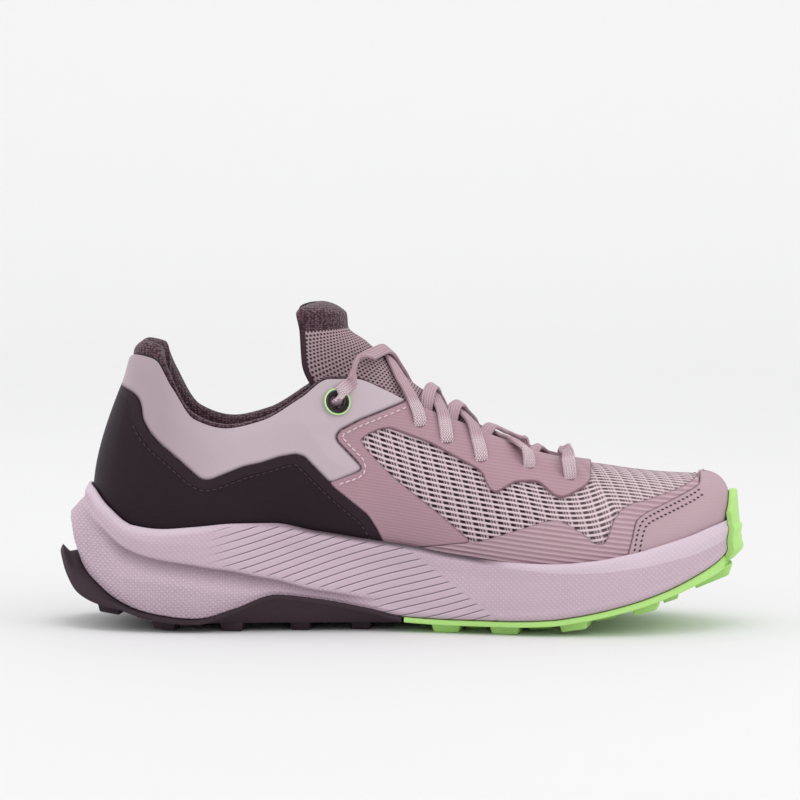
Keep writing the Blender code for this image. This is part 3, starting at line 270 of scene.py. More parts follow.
def scaled(size, *rows, less=0.0):
    """Rows of a table whose last number is a share of a size, less a set length."""
    return [(*row[:-1], row[-1] * size - less) for row in rows]


PLAN = columns(
    "at swing half",
    *scaled(HEEL_WIDTH, (0.07, 0.000, 0.50), (0.20, 0.000, 0.50)),
    *scaled(WAIST_WIDTH, (0.33, 0.005, 0.49), (0.45, 0.011, 0.50)),
    *scaled(BALL_WIDTH, (0.58, 0.004, 0.43), (0.70, -0.004, 0.50), (0.80, -0.014, 0.49)),
    *scaled(BALL_WIDTH, (0.90, -0.028, 0.43), (1.00, -0.042, 0.36)),
)
TOP = columns(
    "station x y z turn low_out low_up high_out high_down",
    (0.00, 0.0985, 0.00 * HEEL_WIDTH, 0.985 * COLLAR_HEIGHT, 0, 0.21, 0.24, 0.125, 0.30),
    (0.05, 0.101, 0.10 * HEEL_WIDTH, 0.990 * COLLAR_HEIGHT, 20, 0.20, 0.24, 0.125, 0.30),
    (0.10, 0.110, 0.20 * HEEL_WIDTH, 1.003 * COLLAR_HEIGHT, 40, 0.18, 0.23, 0.125, 0.30),
    (0.15, 0.134, 0.30 * HEEL_WIDTH, 0.992 * COLLAR_HEIGHT, 60, 0.15, 0.22, 0.120, 0.31),
    (0.20, 0.157, 0.38 * HEEL_WIDTH, 0.893 * COLLAR_HEIGHT, 76, 0.14, 0.22, 0.110, 0.31),
    (0.25, 0.190, 0.43 * HEEL_WIDTH, 1.045 * COLLAR_DIP, 85, 0.15, 0.25, 0.110, 0.32),
    (0.30, 0.237, 0.45 * HEEL_WIDTH, 1.000 * COLLAR_DIP, 90, 0.16, 0.28, 0.100, 0.32),
    (0.35, 0.290, 0.46 * HEEL_WIDTH, 1.040 * COLLAR_DIP, 90, 0.16, 0.28, 0.100, 0.32),
    (0.40, 0.346, 0.45 * HEEL_WIDTH, 1.155 * COLLAR_DIP, 90, 0.14, 0.27, 0.095, 0.34),
    (0.44, 0.384, 0.42 * HEEL_WIDTH, 0.985 * THROAT_HEIGHT, 90, 0.13, 0.25, 0.090, 0.36),
    (0.47, 0.418, 0.62 * THROAT_WIDTH, 0.982 * THROAT_HEIGHT, 90, 0.13, 0.25, 0.110, 0.32),
    (0.50, 0.455, 0.56 * THROAT_WIDTH, 0.943 * THROAT_HEIGHT, 90, 0.13, 0.26, 0.140, 0.26),
    (0.54, 0.504, 0.50 * THROAT_WIDTH, 0.878 * THROAT_HEIGHT, 90, 0.13, 0.28, 0.190, 0.18),
    (0.58, 0.554, 0.46 * THROAT_WIDTH, 1.235 * VAMP_HEIGHT, 90, 0.13, 0.30, 0.240, 0.13),
    (0.63, 0.614, 0.42 * THROAT_WIDTH, 1.133 * VAMP_HEIGHT, 90, 0.13, 0.33, 0.300, 0.09),
    (0.68, 0.671, 0.35 * THROAT_WIDTH, 1.040 * VAMP_HEIGHT, 90, 0.12, 0.35, 0.370, 0.05),
    (0.72, 0.711, 0.23 * THROAT_WIDTH, 0.995 * VAMP_HEIGHT, 90, 0.12, 0.36, 0.450, 0.02),
    (0.75, 0.733, 0.09 * THROAT_WIDTH, 0.978 * VAMP_HEIGHT, 92, 0.11, 0.37, 0.560, 0.00),
    (0.765, 0.7405, 0.0, 0.973 * VAMP_HEIGHT, 94, 0.11, 0.37, 0.600, 0.00),
    (0.80, 0.773, 0.0, 0.955 * VAMP_HEIGHT, 101, 0.11, 0.38, 0.720, 0.00),
    (0.85, 0.822, 0.0, 0.926 * VAMP_HEIGHT, 116, 0.13, 0.42, 0.800, 0.00),
    (0.90, 0.866, 0.0, 1.028 * TOE_HEIGHT, 136, 0.18, 0.45, 0.780, 0.00),
    (0.95, 0.902, 0.0, 1.024 * TOE_HEIGHT, 158, 0.25, 0.48, 0.620, 0.00),
    (1.00, 0.928, 0.0, 1.018 * TOE_HEIGHT, 180, 0.30, 0.50, 0.390, 0.00),
)
FOOTBED = columns(
    "at height",
    *scaled(HEEL_STACK, (HEEL_END, 1.00), (0.195, 1.01), (0.247, 1.03), (0.306, 1.03), (0.370, 0.97)),
    *scaled(BALL_STACK, (0.437, 1.22), (0.506, 1.12), (0.575, 1.03), (0.642, 1.00), (0.706, 1.00)),
    *scaled(BALL_STACK, (0.765, 1.04), (0.817, 1.12)),
    *scaled(TOE_STACK, (0.862, 0.80), (0.898, 0.88), (0.924, 0.95), (TOE_END, 1.00)),
)
ROCKER = columns(
    "at height",
    *scaled(HEEL_LIFT, (-0.020, 1.90), (0.0108, 1.00), (0.0226, 0.75), (0.0500, 0.53), (0.0815, 0.355)),
    *scaled(BOTTOM_HEIGHT, (0.1130, 1.50), (0.1450, 1.20), (0.1850, 1.00), (0.6300, 1.00), (0.7000, 1.14)),
    *scaled(TOE_LIFT, (0.7420, 0.245), (0.8000, 0.350), (0.8580, 0.490), (0.9190, 0.700)),
    *scaled(TOE_LIFT, (0.9510, 0.840), (0.9760, 1.000), (1.0000, 1.200)),
)
UNDER = RUBBER + GAP
TREAD = columns(
    "at height",
    *scaled(HEEL_LIFT, (-0.0200, 1.150), (-0.0120, 0.890), (0.0000, 0.640), (0.0190, 0.425)),
    *scaled(HEEL_LIFT, (0.0537, 0.305), (0.0815, 0.262)),
    (0.1060, 1.16 * BOTTOM_HEIGHT),
    *scaled(BOTTOM_HEIGHT, (0.1370, 1.20), (0.1850, 1.00), (0.6300, 1.00), (0.7000, 1.12), less=UNDER),
    *scaled(TOE_LIFT, (0.7420, 0.240), (0.8000, 0.340), (0.8580, 0.470), (0.9190, 0.650), less=UNDER),
    *scaled(TOE_LIFT, (0.9510, 0.760), (0.9760, 0.860), (1.0000, 1.000), less=UNDER),
)
SOLE = columns(
    "station wing band crease rim bottom_out band_out under_out crease_out rim_out",
    (0.00, 0.00, 0.56, 0.78, 1.000, 1.16, 0.93, 0.54, 0.40, 0.17),
    (0.05, 0.00, 0.40, 0.80, 0.950, 1.06, 1.02, 0.58, 0.44, 0.18),
    (0.10, 0.00, 0.30, 0.80, 0.700, 0.92, 1.04, 0.66, 0.60, 0.20),
    (0.15, 0.00, 0.36, 0.72, 0.415, 0.78, 0.98, 0.70, 0.74, 0.22),
    (0.20, 0.00, 0.39, 0.67, 0.365, 0.66, 0.94, 0.66, 0.78, 0.24),
    (0.25, 0.00, 0.33, 0.60, 0.400, 0.60, 0.88, 0.60, 0.78, 0.25),
    (0.30, 0.14, 0.18, 0.45, 0.425, 0.60, 0.80, 0.58, 0.78, 0.25),
    (0.35, 0.31, 0.06, 0.22, 0.430, 0.64, 0.70, 0.60, 0.74, 0.25),
    (0.40, 0.25, 0.05, 0.14, 0.375, 0.64, 0.68, 0.62, 0.70, 0.25),
    (0.45, 0.14, 0.07, 0.16, 0.385, 0.62, 0.66, 0.63, 0.66, 0.25),
    (0.50, 0.02, 0.12, 0.30, 0.380, 0.56, 0.60, 0.60, 0.60, 0.25),
    (0.55, 0.00, 0.14, 0.36, 0.320, 0.50, 0.56, 0.56, 0.56, 0.25),
    (0.60, 0.00, 0.16, 0.36, 0.255, 0.46, 0.53, 0.54, 0.54, 0.25),
    (0.65, 0.00, 0.18, 0.38, 0.235, 0.44, 0.52, 0.53, 0.53, 0.25),
    (0.70, 0.00, 0.20, 0.40, 0.250, 0.42, 0.51, 0.52, 0.52, 0.25),
    (0.75, 0.00, 0.20, 0.40, 0.280, 0.42, 0.50, 0.51, 0.51, 0.24),
    (0.80, 0.00, 0.20, 0.40, 0.280, 0.42, 0.50, 0.50, 0.50, 0.23),
    (0.85, 0.00, 0.22, 0.42, 0.280, 0.41, 0.49, 0.49, 0.49, 0.20),
    (0.90, 0.00, 0.25, 0.45, 0.290, 0.40, 0.47, 0.48, 0.47, 0.16),
    (0.95, 0.00, 0.28, 0.48, 0.300, 0.39, 0.46, 0.46, 0.44, 0.12),
    (1.00, 0.00, 0.30, 0.50, 0.310, 0.38, 0.45, 0.45, 0.42, 0.10),
)
LIP = columns(
    "station tail cup rim",
    (0.00, 1.000, 0.30, 2.60),
    (0.05, 0.930, 0.40, 2.40),
    (0.10, 0.700, 0.60, 1.50),
    (0.15, 0.360, 0.60, 0.90),
    (0.19, 0.100, 0.60, 0.60),
    (0.50, 0.075, 0.50, 0.50),
    (1.00, 0.160, 0.40, 0.50),
)
HEEL_LUGS = columns(
    "at off long wide",
    (0.068, 0.220, 0.85, 1.05),
    (0.068, 0.000, 0.85, 1.15),
    (0.118, 0.110, 0.85, 1.00),
    (0.150, 0.326, 0.90, 1.08),
    (REST_LUG, 0.000, 1.20, 1.65),
    (0.247, 0.330, 0.85, 1.08),
    (0.247, 0.113, 0.80, 0.90),
    (0.296, 0.000, 0.90, 1.25),
    (0.345, 0.308, 0.75, 0.92),
    (0.345, 0.108, 0.75, 0.83),
    (0.432, 0.300, 0.75, 0.92),
    (0.432, 0.100, 0.75, 0.83),
)


def along(table, column, at):
    """A smooth curve through a table's column, against its first one, that never passes a row's
    own value: cubic pieces whose slope at each row is the weighted harmonic mean of its chords."""
    xs, ys = table[next(iter(table))], table[column]
    step = np.diff(xs)
    chord = np.diff(ys) / step
    before, after = 2 * step[1:] + step[:-1], step[1:] + 2 * step[:-1]
    same = chord[:-1] * chord[1:] > 0
    safe = [np.where(same, c, 1.0) for c in (chord[:-1], chord[1:])]
    slope = np.zeros_like(ys)
    slope[1:-1] = np.where(same, (before + after) / (before / safe[0] + after / safe[1]), 0.0)
    slope[0], slope[-1] = chord[0], chord[-1]
    at = np.clip(np.asarray(at, float), xs[0], xs[-1])
    i = np.clip(np.searchsorted(xs, at, side="right") - 1, 0, len(xs) - 2)
    width = step[i]
    t = (at - xs[i]) / width
    return (
        ys[i] * (1 + 2 * t) * (1 - t) ** 2
        + slope[i] * width * t * (1 - t) ** 2
        + ys[i + 1] * t * t * (3 - 2 * t)
        + slope[i + 1] * width * t * t * (t - 1)
    )


def all_along(table, at):
    """Every column of a table but the first, each as a smooth curve."""
    return {name: along(table, name, at) for name in list(table)[1:]}


def unit(vectors):
    """Vectors made one long."""
    return vectors / np.maximum(np.linalg.norm(vectors, axis=-1, keepdims=True), 1e-12)


def place_x(share):
    """A share of LENGTH as a place along X."""
    return (np.asarray(share, float) - REST_LUG) * LENGTH


def height_at(table, x):
    """The height in a table of heights along the shoe at a place along X."""
    return along(table, "height", np.asarray(x) / LENGTH + REST_LUG)


def seat_share(station):
    """Share of LENGTH of the upper's bottom edge: a cosine, so close together at heel and toe."""
    return HEEL_END + (TOE_END - HEEL_END) * (1 - np.cos(np.pi * np.asarray(station, float))) / 2


def sided(station):
    """A station runs from 0 at the heel to 1 at the toe on the outer side, and past either end
    onto the inner side, so -1 to 1 is once round. This gives its distance from the heel and side."""
    station = (np.asarray(station, float) + 1) % 2 - 1
    return np.abs(station), np.where(station < 0, -1.0, 1.0)


def seat_edge(station):
    """The upper's bottom edge from above, on either side of its swung centre line."""
    near, side = sided(station)
    share = seat_share(near)
    from_heel = np.clip((share - HEEL_END) / HEEL_CURVE, 0, 1)
    from_toe = np.clip((TOE_END - share) / TOE_CURVE, 0, 1)
    ends = np.sqrt((1 - (1 - from_heel) ** 2) * (1 - (1 - from_toe) ** 2))
    half = along(PLAN, "half", share) * ends
    swing = along(PLAN, "swing", share) * LENGTH
    return np.stack([place_x(share), swing + side * half], -1)


def seat_facing(station):
    """The way the bottom edge faces in plan: its tangent turned a quarter."""
    tangent = seat_edge(station + 1e-3) - seat_edge(station - 1e-3)
    out = np.stack([-tangent[..., 1], tangent[..., 0]], -1)
    return unit(out)


def wall_point(station, height):
    """A point of the upper's outer face: a cubic curve from the bottom edge to the top edge."""
    station, height = np.broadcast_arrays(np.asarray(station, float), np.asarray(height, float))
    near, side = sided(station)
    top = all_along(TOP, near)
    foot = seat_edge(station)
    foot = np.concatenate([foot, height_at(FOOTBED, foot[..., :1])], -1)
    middle = along(PLAN, "swing", top["x"]) * LENGTH * np.clip(top["x"] / 0.6 - 0.2, 0, 1)
    crest = np.stack([place_x(top["x"]), middle + side * top["y"], top["z"]], -1)
    rise = (crest[..., 2] - foot[..., 2])[..., None]
    angle = np.radians(top["turn"])
    crest_out = np.stack([-np.cos(angle), side * np.sin(angle), np.zeros_like(angle)], -1)
    out = np.concatenate([seat_facing(station), np.zeros(station.shape + (1,))], -1)
    low = foot + rise * (out * top["low_out"][..., None] + UP * top["low_up"][..., None])
    high = crest + rise * (crest_out * top["high_out"][..., None] - UP * top["high_down"][..., None])
    t = height[..., None]
    return foot * (1 - t) ** 3 + 3 * low * t * (1 - t) ** 2 + 3 * high * t * t * (1 - t) + crest * t**3


def wall_normal(station, height):
    """The outward normal of the upper's outer face, across two small steps."""
    step = 2e-3
    station, height = np.broadcast_arrays(np.asarray(station, float), np.asarray(height, float))
    low, high = np.clip(height - step, 0, 1), np.clip(height + step, 0, 1)
    onward = wall_point(station + step, height) - wall_point(station - step, height)
    upward = wall_point(station, high) - wall_point(station, low)
    return unit(np.cross(upward, onward))


def side_point(station, level, out, clear=0.0):
    """Points out from the upper's wall at a level, or from its bottom edge below it, and clear of
    the wall across its lean."""
    steps = np.linspace(0, 0.8, 60)
    curve = wall_point(station[:, None], steps[None, :])
    facing = seat_facing(station)
    at = np.maximum(level, curve[:, 0, 2])
    i = np.clip((curve[:, :, 2] < at[:, None]).sum(1) - 1, 0, len(steps) - 2)
    row = np.arange(len(station))
    below, above = curve[row, i], curve[row, i + 1]
    rise = np.maximum(above[:, 2] - below[:, 2], 1e-9)
    share = np.clip((at - below[:, 2]) / rise, 0, 1)[:, None]
    place = below + (above - below) * share
    lean = ((above - below)[:, :2] * facing).sum(-1) / rise
    reach = (out + clear * np.sqrt(1 + lean**2))[:, None]
    level = np.broadcast_to(level, reach[:, 0].shape)
    return np.column_stack([place[:, :2] + facing * reach, level])


def middle_point(station):
    """Where a station's line meets the middle of the sole, short of the heel and the toe."""
    share = np.clip(seat_share(sided(station)[0]), HEEL_END + 0.07, TOE_END - 0.07)
    return np.column_stack([place_x(share), along(PLAN, "swing", share) * LENGTH])


def under_edge(station):
    """The sole's bottom edge, over the rocker by the arch's wing."""
    near = sided(station)[0]
    edge = side_point(station, np.zeros(len(station)), along(SOLE, "bottom_out", near) * FLARE)
    wing = along(SOLE, "wing", near) * HEEL_STACK
    edge[:, 2] = height_at(ROCKER, edge[:, 0]) + wing
    return edge


def rounded(profile, radius, spacing):
    """Rows of corner points made into rows of close points: each inner corner gives way to three
    points on a small arc, and the straight runs are filled at about the spacing."""
    count = profile.shape[1]
    kept = [profile[:, 0]]
    for i in range(1, count - 1):
        back, onward = profile[:, i - 1] - profile[:, i], profile[:, i + 1] - profile[:, i]
        lengths = [np.linalg.norm(v, axis=1, keepdims=True) for v in (back, onward)]
        ways = [v / np.maximum(n, 1e-9) for v, n in zip((back, onward), lengths)]
        reach = np.minimum(radius, 0.4 * np.minimum(*lengths))
        kept += [profile[:, i] + ways[0] * reach, profile[:, i] + (ways[0] + ways[1]) * reach * 0.25]
        kept.append(profile[:, i] + ways[1] * reach)
    kept.append(profile[:, -1])
    rows = [kept[0][:, None]]
    for a, b in zip(kept[:-1], kept[1:]):
        fill = max(1, round(float(np.linalg.norm(b - a, axis=1).mean()) / spacing))
        share = np.linspace(0, 1, fill + 1)[1:, None]
        rows.append(a[:, None] + (b - a)[:, None] * share)
    return np.concatenate(rows, 1)


def rubber_rows(station):
    """Rows round an outsole plate: top from the middle to the edge, lip, and tread face back."""
    near = sided(station)[0]
    middle, edge, facing = middle_point(station), under_edge(station), seat_facing(station)
    tail, cup, rim = (along(LIP, name, near) for name in ("tail", "cup", "rim"))
    wing = edge[:, 2] - height_at(ROCKER, edge[:, 0])
    top, under = [], []
    for share in ROW_SHARES:
        place = middle + (edge[:, :2] - middle) * share
        high, low = height_at(ROCKER, place[:, 0]) - GAP, height_at(TREAD, place[:, 0])
        top.append(np.column_stack([place, high]))
        under.append(np.column_stack([place, np.minimum(low, high - 0.7 * RUBBER)]))
    edge[:, 2] -= GAP
    near_by, root, tip, far = (
        edge[:, :2] + facing * (share * tail * TAIL)[:, None] for share in (0.5, 0.4, 0.85, 1.0)
    )
    tread = [height_at(TREAD, place[:, 0]) + wing for place in (root, tip, far)]
    tip_z = np.minimum(tread[1] + rim * RUBBER, edge[:, 2] + (1.55 * tail - 0.25) * RUBBER)
    far_z = np.minimum(np.minimum(tread[2], edge[:, 2] - 0.2 * RUBBER), tip_z - 0.25 * RUBBER)
    root_z = np.minimum(np.minimum(tread[0], edge[:, 2] - RUBBER), far_z - 0.1 * RUBBER)
    near_z = edge[:, 2] - cup * np.abs(edge[:, 2] - tip_z)
    lip = [edge] + [
        np.column_stack([place, z])
        for place, z in ((near_by, near_z), (tip, tip_z), (far, far_z), (root, root_z))
    ]
    return np.stack(top + lip + under[::-1], 1)


def rubber_plate(name, first, last, count):
    """A plate between two stations on both sides, with its ends that cross the shoe closed."""
    station = np.linspace(first, last, count)
    grids = [rounded(rubber_rows(sign * station), 0.0006, 0.0030) for sign in (1, -1)]
    ends = [i for i, s in ((0, first), (-1, last)) if 0 < s < 1]
    caps = [np.concatenate([grids[0][i], grids[1][i][-2:0:-1]]) for i in ends]
    return surface(name, grids, caps=caps, sharp=50)


def lug_blocks(name, table):
    """Tapered blocks with worn edges, each a softened cube turned, leaned and set on the tread,
    and level with the floor where it reaches it."""
    shape = bmesh.new()
    bmesh.ops.create_cube(shape, size=1.0)
    bmesh.ops.bevel(
        shape, geom=shape.edges[:] + shape.verts[:], offset=0.07, segments=3, profile=0.5, affect="EDGES"
    )
    block = np.array([v.co[:] for v in shape.verts])
    faces = [[v.index for v in face.verts] for face in shape.faces]
    shape.free()
    points, all_faces = [], []
    for share, off, long, wide in zip(*(table[c] for c in ("at", "off", "long", "wide"))):
        x = float(place_x(share))
        under = float(height_at(TREAD, x))
        lean = float(height_at(TREAD, x + 0.002) - height_at(TREAD, x - 0.002)) / 0.004
        middle = float(along(PLAN, "swing", share)) * LENGTH
        for side in (-1, 1) if off else (1,):
            taper = 0.90 + 0.10 * np.clip(block[:, 2] * 2, -1, 1)
            forward, across = block[:, 0] * long * LUG_SIZE * taper, block[:, 1] * wide * LUG_SIZE * taper
            angle = side * off * math.radians(30)
            px = x + math.cos(angle) * forward - math.sin(angle) * across
            py = middle + side * off * BALL_WIDTH + math.sin(angle) * forward + math.cos(angle) * across
            face = under + lean * (px - x)
            high, low = face + 0.5 * RUBBER, np.maximum(face - LUG_DEPTH, 0.0)
            pz = low + (high - low) * (block[:, 2] + 0.5)
            all_faces += [[i + len(points) * len(block) for i in f] for f in faces]
            points.append(np.column_stack([px, py, pz]))
    mesh = bpy.data.meshes.new(name)
    mesh.from_pydata(np.concatenate(points), [], all_faces)
    return shaded(name, mesh, 50)


def noise(tree, scale, detail):
    """A noise over the shoe's frame."""
    place = add(tree, "TexCoord").outputs["Object"]
    return Number(add(tree, "TexNoise", place, None, scale, detail).outputs[0])


def grain_drift_group():
    """Moulded skin: a fine grain's height, and a colour with a slow drift and paler raised spots."""
    group = bpy.data.node_groups.new("moulded_skin", "ShaderNodeTree")
    for name, kind in (("Colour", "Color"), ("Grain size", "Float"), ("Drift", "Float")):
        group.interface.new_socket(name, in_out="INPUT", socket_type="NodeSocket" + kind)
    for name, kind in (("Colour", "Color"), ("Height", "Float")):
        group.interface.new_socket(name, in_out="OUTPUT", socket_type="NodeSocket" + kind)
    enter, leave = group.nodes.new("NodeGroupInput"), group.nodes.new("NodeGroupOutput")
    colour, size, drift = enter.outputs[0], Number(enter.outputs[1]), Number(enter.outputs[2])
    grain = noise(group, maths("DIVIDE", 1.0, size), 3.0)
    level = noise(group, 28.0, 2.0) - 0.5 + (grain - 0.5) * 0.6
    bright = add(group, "HueSaturation", 0.5, 1.0, level * drift + 1.0, 1.0, colour)
    join(bright.outputs[0], leave.inputs["Colour"])
    join(grain, leave.inputs["Height"])
    return group


moulded_skin = grain_drift_group()


def moulded(material, colour, grain, drift):
    """A colour with the moulded skin's drift, and its grain's height, inside a material."""
    node = add(material.node_tree, "Group", colour, grain, drift, node_tree=moulded_skin)
    return node.outputs["Colour"], Number(node.outputs["Height"])


def plain(name, colour, roughness, grain, drift, depth, **sockets):
    """A material of one colour with the moulded skin's drift and grain."""
    material = new_material(name, colour, roughness, **sockets)
    paint(material, *moulded(material, colour, grain, drift), depth)
    return material


def finished(piece, material, slot, *nodes):
    """Fixes a piece to the shoe: its material and the CAD nodes it stands for. Its slot is not used."""
    piece.data.materials.append(material)
    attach(piece, "root")
    if nodes:
        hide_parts(*nodes)


heel_rubber = plain("heel_rubber", RUBBER_DARK, 0.55, 0.0006, 0.35, 0.00012, Specular_IOR_Level=0.18)
heel_plate = rubber_plate("heel_plate", 0.0, RUBBER_SPLIT, 130)
finished(heel_plate, heel_rubber, "heel_rubber", "outsole_heel")
heel_lugs = lug_blocks("heel_lugs", HEEL_LUGS)
finished(heel_lugs, heel_rubber, "heel_rubber", "outsole_heel")

# Forefoot rubber: a lime plate with its own lugs, carried up over the front of the toe as a
# bumper. It is moulded in one and glued to the midsole and the toe cap.

LIME = (0.41, 0.70, 0.20)
TOE_LUGS = columns(
    "at off long wide",
    (0.556, 0.380, 1.08, 1.08),
    (0.556, 0.120, 0.85, 0.92),
    (0.600, 0.260, 0.85, 0.92),
    (0.600, 0.000, 0.85, 0.92),
    (0.640, 0.430, 1.12, 1.08),
    (0.640, 0.134, 0.92, 1.00),
    (0.690, 0.307, 0.92, 1.00),
    (0.690, 0.000, 0.92, 1.00),
    (0.738, 0.455, 1.06, 1.08),
    (0.738, 0.153, 0.92, 1.00),
    (0.785, 0.292, 0.92, 0.92),
    (0.785, 0.000, 0.92, 1.00),
    (0.840, 0.356, 0.95, 1.00),
    (0.840, 0.122, 0.92, 0.92),
    (0.884, 0.000, 0.92, 1.00),
    (0.878, 0.211, 0.60, 0.92),
    (0.9395, 0.077, 1.40, 0.95),
)
BUMPER = columns(
    "station top foot head",
    (0.952, 0.78, 0.24, 0.16),
    (0.975, 0.88, 0.46, 0.22),
    (1.000, 0.92, 0.56, 0.27),
)


def facing_out(station):
    """The way the bottom edge faces, level."""
    return np.column_stack([seat_facing(station), np.zeros(len(station))])


def looped(grid):
    """Rows of points with each row's first point repeated at its end."""
    return np.concatenate([grid, grid[:, :1]], 1)


def sole_side(station):
    """Rows up the outside of the midsole, from its bottom edge to its rim, and the rim's height."""
    line = all_along(SOLE, sided(station)[0])
    out = {name: line[name + "_out"] * FLARE for name in ("band", "under", "crease", "rim")}
    edge = under_edge(station)
    rim = height_at(FOOTBED, seat_edge(station)[:, 0]) + line["rim"] * RIM_RISE
    tall = rim - edge[:, 2]
    band, crease = edge[:, 2] + line["band"] * tall, edge[:, 2] + line["crease"] * tall
    over_crease = 0.45 * crease + 0.55 * rim
    at_band = side_point(station, band, out["band"])
    rows = [
        edge,
        0.5 * (edge + at_band) + 0.06 * FLARE * facing_out(station),
        at_band,
        side_point(station, crease - 0.05 * tall, out["under"]),
        side_point(station, crease, out["crease"]),
        side_point(station, over_crease, 0.6 * out["crease"] + 0.4 * out["rim"], 0.4 * OVER_GAPS),
        side_point(station, rim - 0.07 * RIM_RISE, out["rim"], OVER_GAPS),
        side_point(station, rim, 0.6 * out["rim"], OVER_GAPS),
    ]
    return np.stack(rows, 1), rim


station = np.linspace(BUMPER["station"][0], 2 - BUMPER["station"][0], 60)
line = all_along(BUMPER, sided(station)[0])
rows, _ = sole_side(station)
facing = facing_out(station)[:, None]
head = side_point(station, line["top"] * TOE_HEIGHT, np.zeros(len(station)), OVER_GAPS)
inner = rows[:, :7] + facing * GAP
inner = np.concatenate([inner[:, :1] - 1.5 * RUBBER * UP, inner, head[:, None]], 1)
share = np.linspace(0, 1, inner.shape[1]) ** 0.8
thick = FLARE * (line["foot"][:, None] + (line["head"] - line["foot"])[:, None] * share)
thick[:, 0] *= 0.4
outer = inner + facing * thick[..., None]
loops = looped(np.concatenate([inner, outer[:, ::-1]], 1))
loops = looped(rounded(np.concatenate([loops, loops[:, 1:2]], 1), 0.0007, 0.0012)[:, :-2])
bumper = surface("toe_bumper", [loops], caps=[loops[0, :-1], loops[-1, :-1]], sharp=50)

toe_rubber = plain("toe_rubber", LIME, 0.45, 0.0006, 0.20, 0.00010, Specular_IOR_Level=0.35)
finished(bumper, toe_rubber, "toe_rubber", "outsole_forefoot")
toe_plate = rubber_plate("toe_plate", RUBBER_SPLIT + 0.003, 1.0, 130)
finished(toe_plate, toe_rubber, "toe_rubber", "outsole_forefoot")
toe_lugs = lug_blocks("toe_lugs", TOE_LUGS)
finished(toe_lugs, toe_rubber, "toe_rubber", "outsole_forefoot")

# Midsole: one block of lilac foam, moulded with a raised rim, a crease that runs down to the
# arch, long slanting grooves along the waist and a knurled skin at heel and forefoot.

FOAM = (0.515, 0.385, 0.457)
FOAM_SHADE, FOAM_LIGHT, FOAM_GAP_SHADE = (0.17, 0.10, 0.14), (0.72, 0.62, 0.70), (0.035, 0.018, 0.026)
GROOVE_SLOPE, GROOVE_PITCH, KNURL_PITCH = math.tan(math.radians(17)), 0.0031, 0.00220
station = (1 - np.cos(np.linspace(0, math.pi, 380))) / 2 * 0.35 + np.linspace(0, 1, 380) * 0.65
grids, marks = [], []
for sign in (1, -1):
    at = sign * station
    rows, rim = sole_side(at)
    crease = rows[:, 4, 2]
    edge, middle = rows[:, 0], middle_point(at)
    keel = []
    for share in ROW_SHARES:
        place = middle + (edge[:, :2] - middle) * share
        keel.append(np.column_stack([place, height_at(ROCKER, place[:, 0])]))
    bed = height_at(FOOTBED, seat_edge(at)[:, 0]) - GAP
    lip = [
        side_point(at, rim + share * (bed - rim), np.zeros(len(at)), OVER_GAPS)
        for share in (0, 0.4, 0.75, 1)
    ]
    for share in (0.5, 0.0):
        place = middle + (lip[3][:, :2] - middle) * share
        lip.append(np.column_stack([place, height_at(FOOTBED, place[:, 0]) - GAP]))
    rows = np.concatenate([np.stack(keel, 1), rows, np.stack(lip, 1)], 1)
    grids.append(rounded(rows, 0.0009, 0.0016))
    low = grids[-1][..., 2]
    marks.append(np.stack([grids[-1][..., 0], rim[:, None] - low, low - crease[:, None]], -1))
midsole = surface("midsole_foam", grids, sharp=60, marks=marks)


def soft_ramp(value, start, end, low=0.0, high=1.0):
    """A ramp that eases in and out."""
    return ramp(value, start, end, low, high, "SMOOTHSTEP")


def on_cloth(tree):
    """A piece's own three numbers at a point, inside a material."""
    vector = add(tree, "Attribute", attribute_name="cloth").outputs["Vector"]
    return [Number(part) for part in add(tree, "SeparateXYZ", vector).outputs]


foam = new_material("midsole_foam", FOAM, 0.60, Specular_IOR_Level=0.28)
_, _, z = on_shoe(foam.node_tree)
x, under_rim, over_crease = on_cloth(foam.node_tree)
waist = (
    soft_ramp(x + z * 1.30, 0.1285, 0.1315, 1.0, 0.0)
    * soft_ramp(x, 0.0, 0.020)
    * maths("MAXIMUM", soft_ramp(over_crease, 0.0, 0.0015), soft_ramp(x, 0.066, 0.080))
    * soft_ramp(under_rim, 0.0008, 0.0018)
)
bowed = maths("SINE", x * 75.0) * 0.0006
saw = maths("FRACT", (z - x * GROOVE_SLOPE + bowed) / GROOVE_PITCH)
groove = soft_ramp(saw, 0.03, 0.19, 1.0, 0.0) * waist
# The edge beside each groove is painted paler: a painted highlight.
groove_lip_highlight = soft_ramp(saw, 0.80, 1.0) * waist
heel_facet = soft_ramp(over_crease, 0.0, -0.0012) * soft_ramp(x, 0.058, 0.078, 1.0, 0.0)
ways = [(z + x * slope) * (2 * math.pi / KNURL_PITCH) for slope in (0.95, -1.05)]
knurl = maths("MINIMUM", *(maths("SINE", way) for way in ways))
knurl = knurl * (heel_facet * 0.45 + 0.22) * (1.0 - waist)
shade = heel_facet * soft_ramp(over_crease, -0.0085, -0.0010) * soft_ramp(x, -0.055, -0.03)
# A band just under the rim along the shoe's middle is painted near black: a painted shadow of the gap
# under the upper.
gap_shade = soft_ramp(x, 0.012, 0.050) * soft_ramp(x, 0.112, 0.128, 1.0, 0.0)
gap_shade = gap_shade * soft_ramp(under_rim, 0.0026, 0.0002)
# A band under the rim towards the toe and a strip along the heel's rim are painted paler: painted
# highlights on the rim's edge.
past_bevel = maths("GREATER_THAN", under_rim, ramp(x, 0.120, 0.205, 0.0018, 0.0075))
bevel = (1.0 - past_bevel) * soft_ramp(x, 0.115, 0.140) * 0.40
heel_rim_highlight = soft_ramp(under_rim, 0.0035, 0.0015) * soft_ramp(x, 0.020, -0.010) * 0.45
# The knurl's ridges are painted paler: a painted highlight on them, over a slight even paling of the whole
# foam.
colour, _ = moulded(foam, FOAM, 0.0010, 0.10)
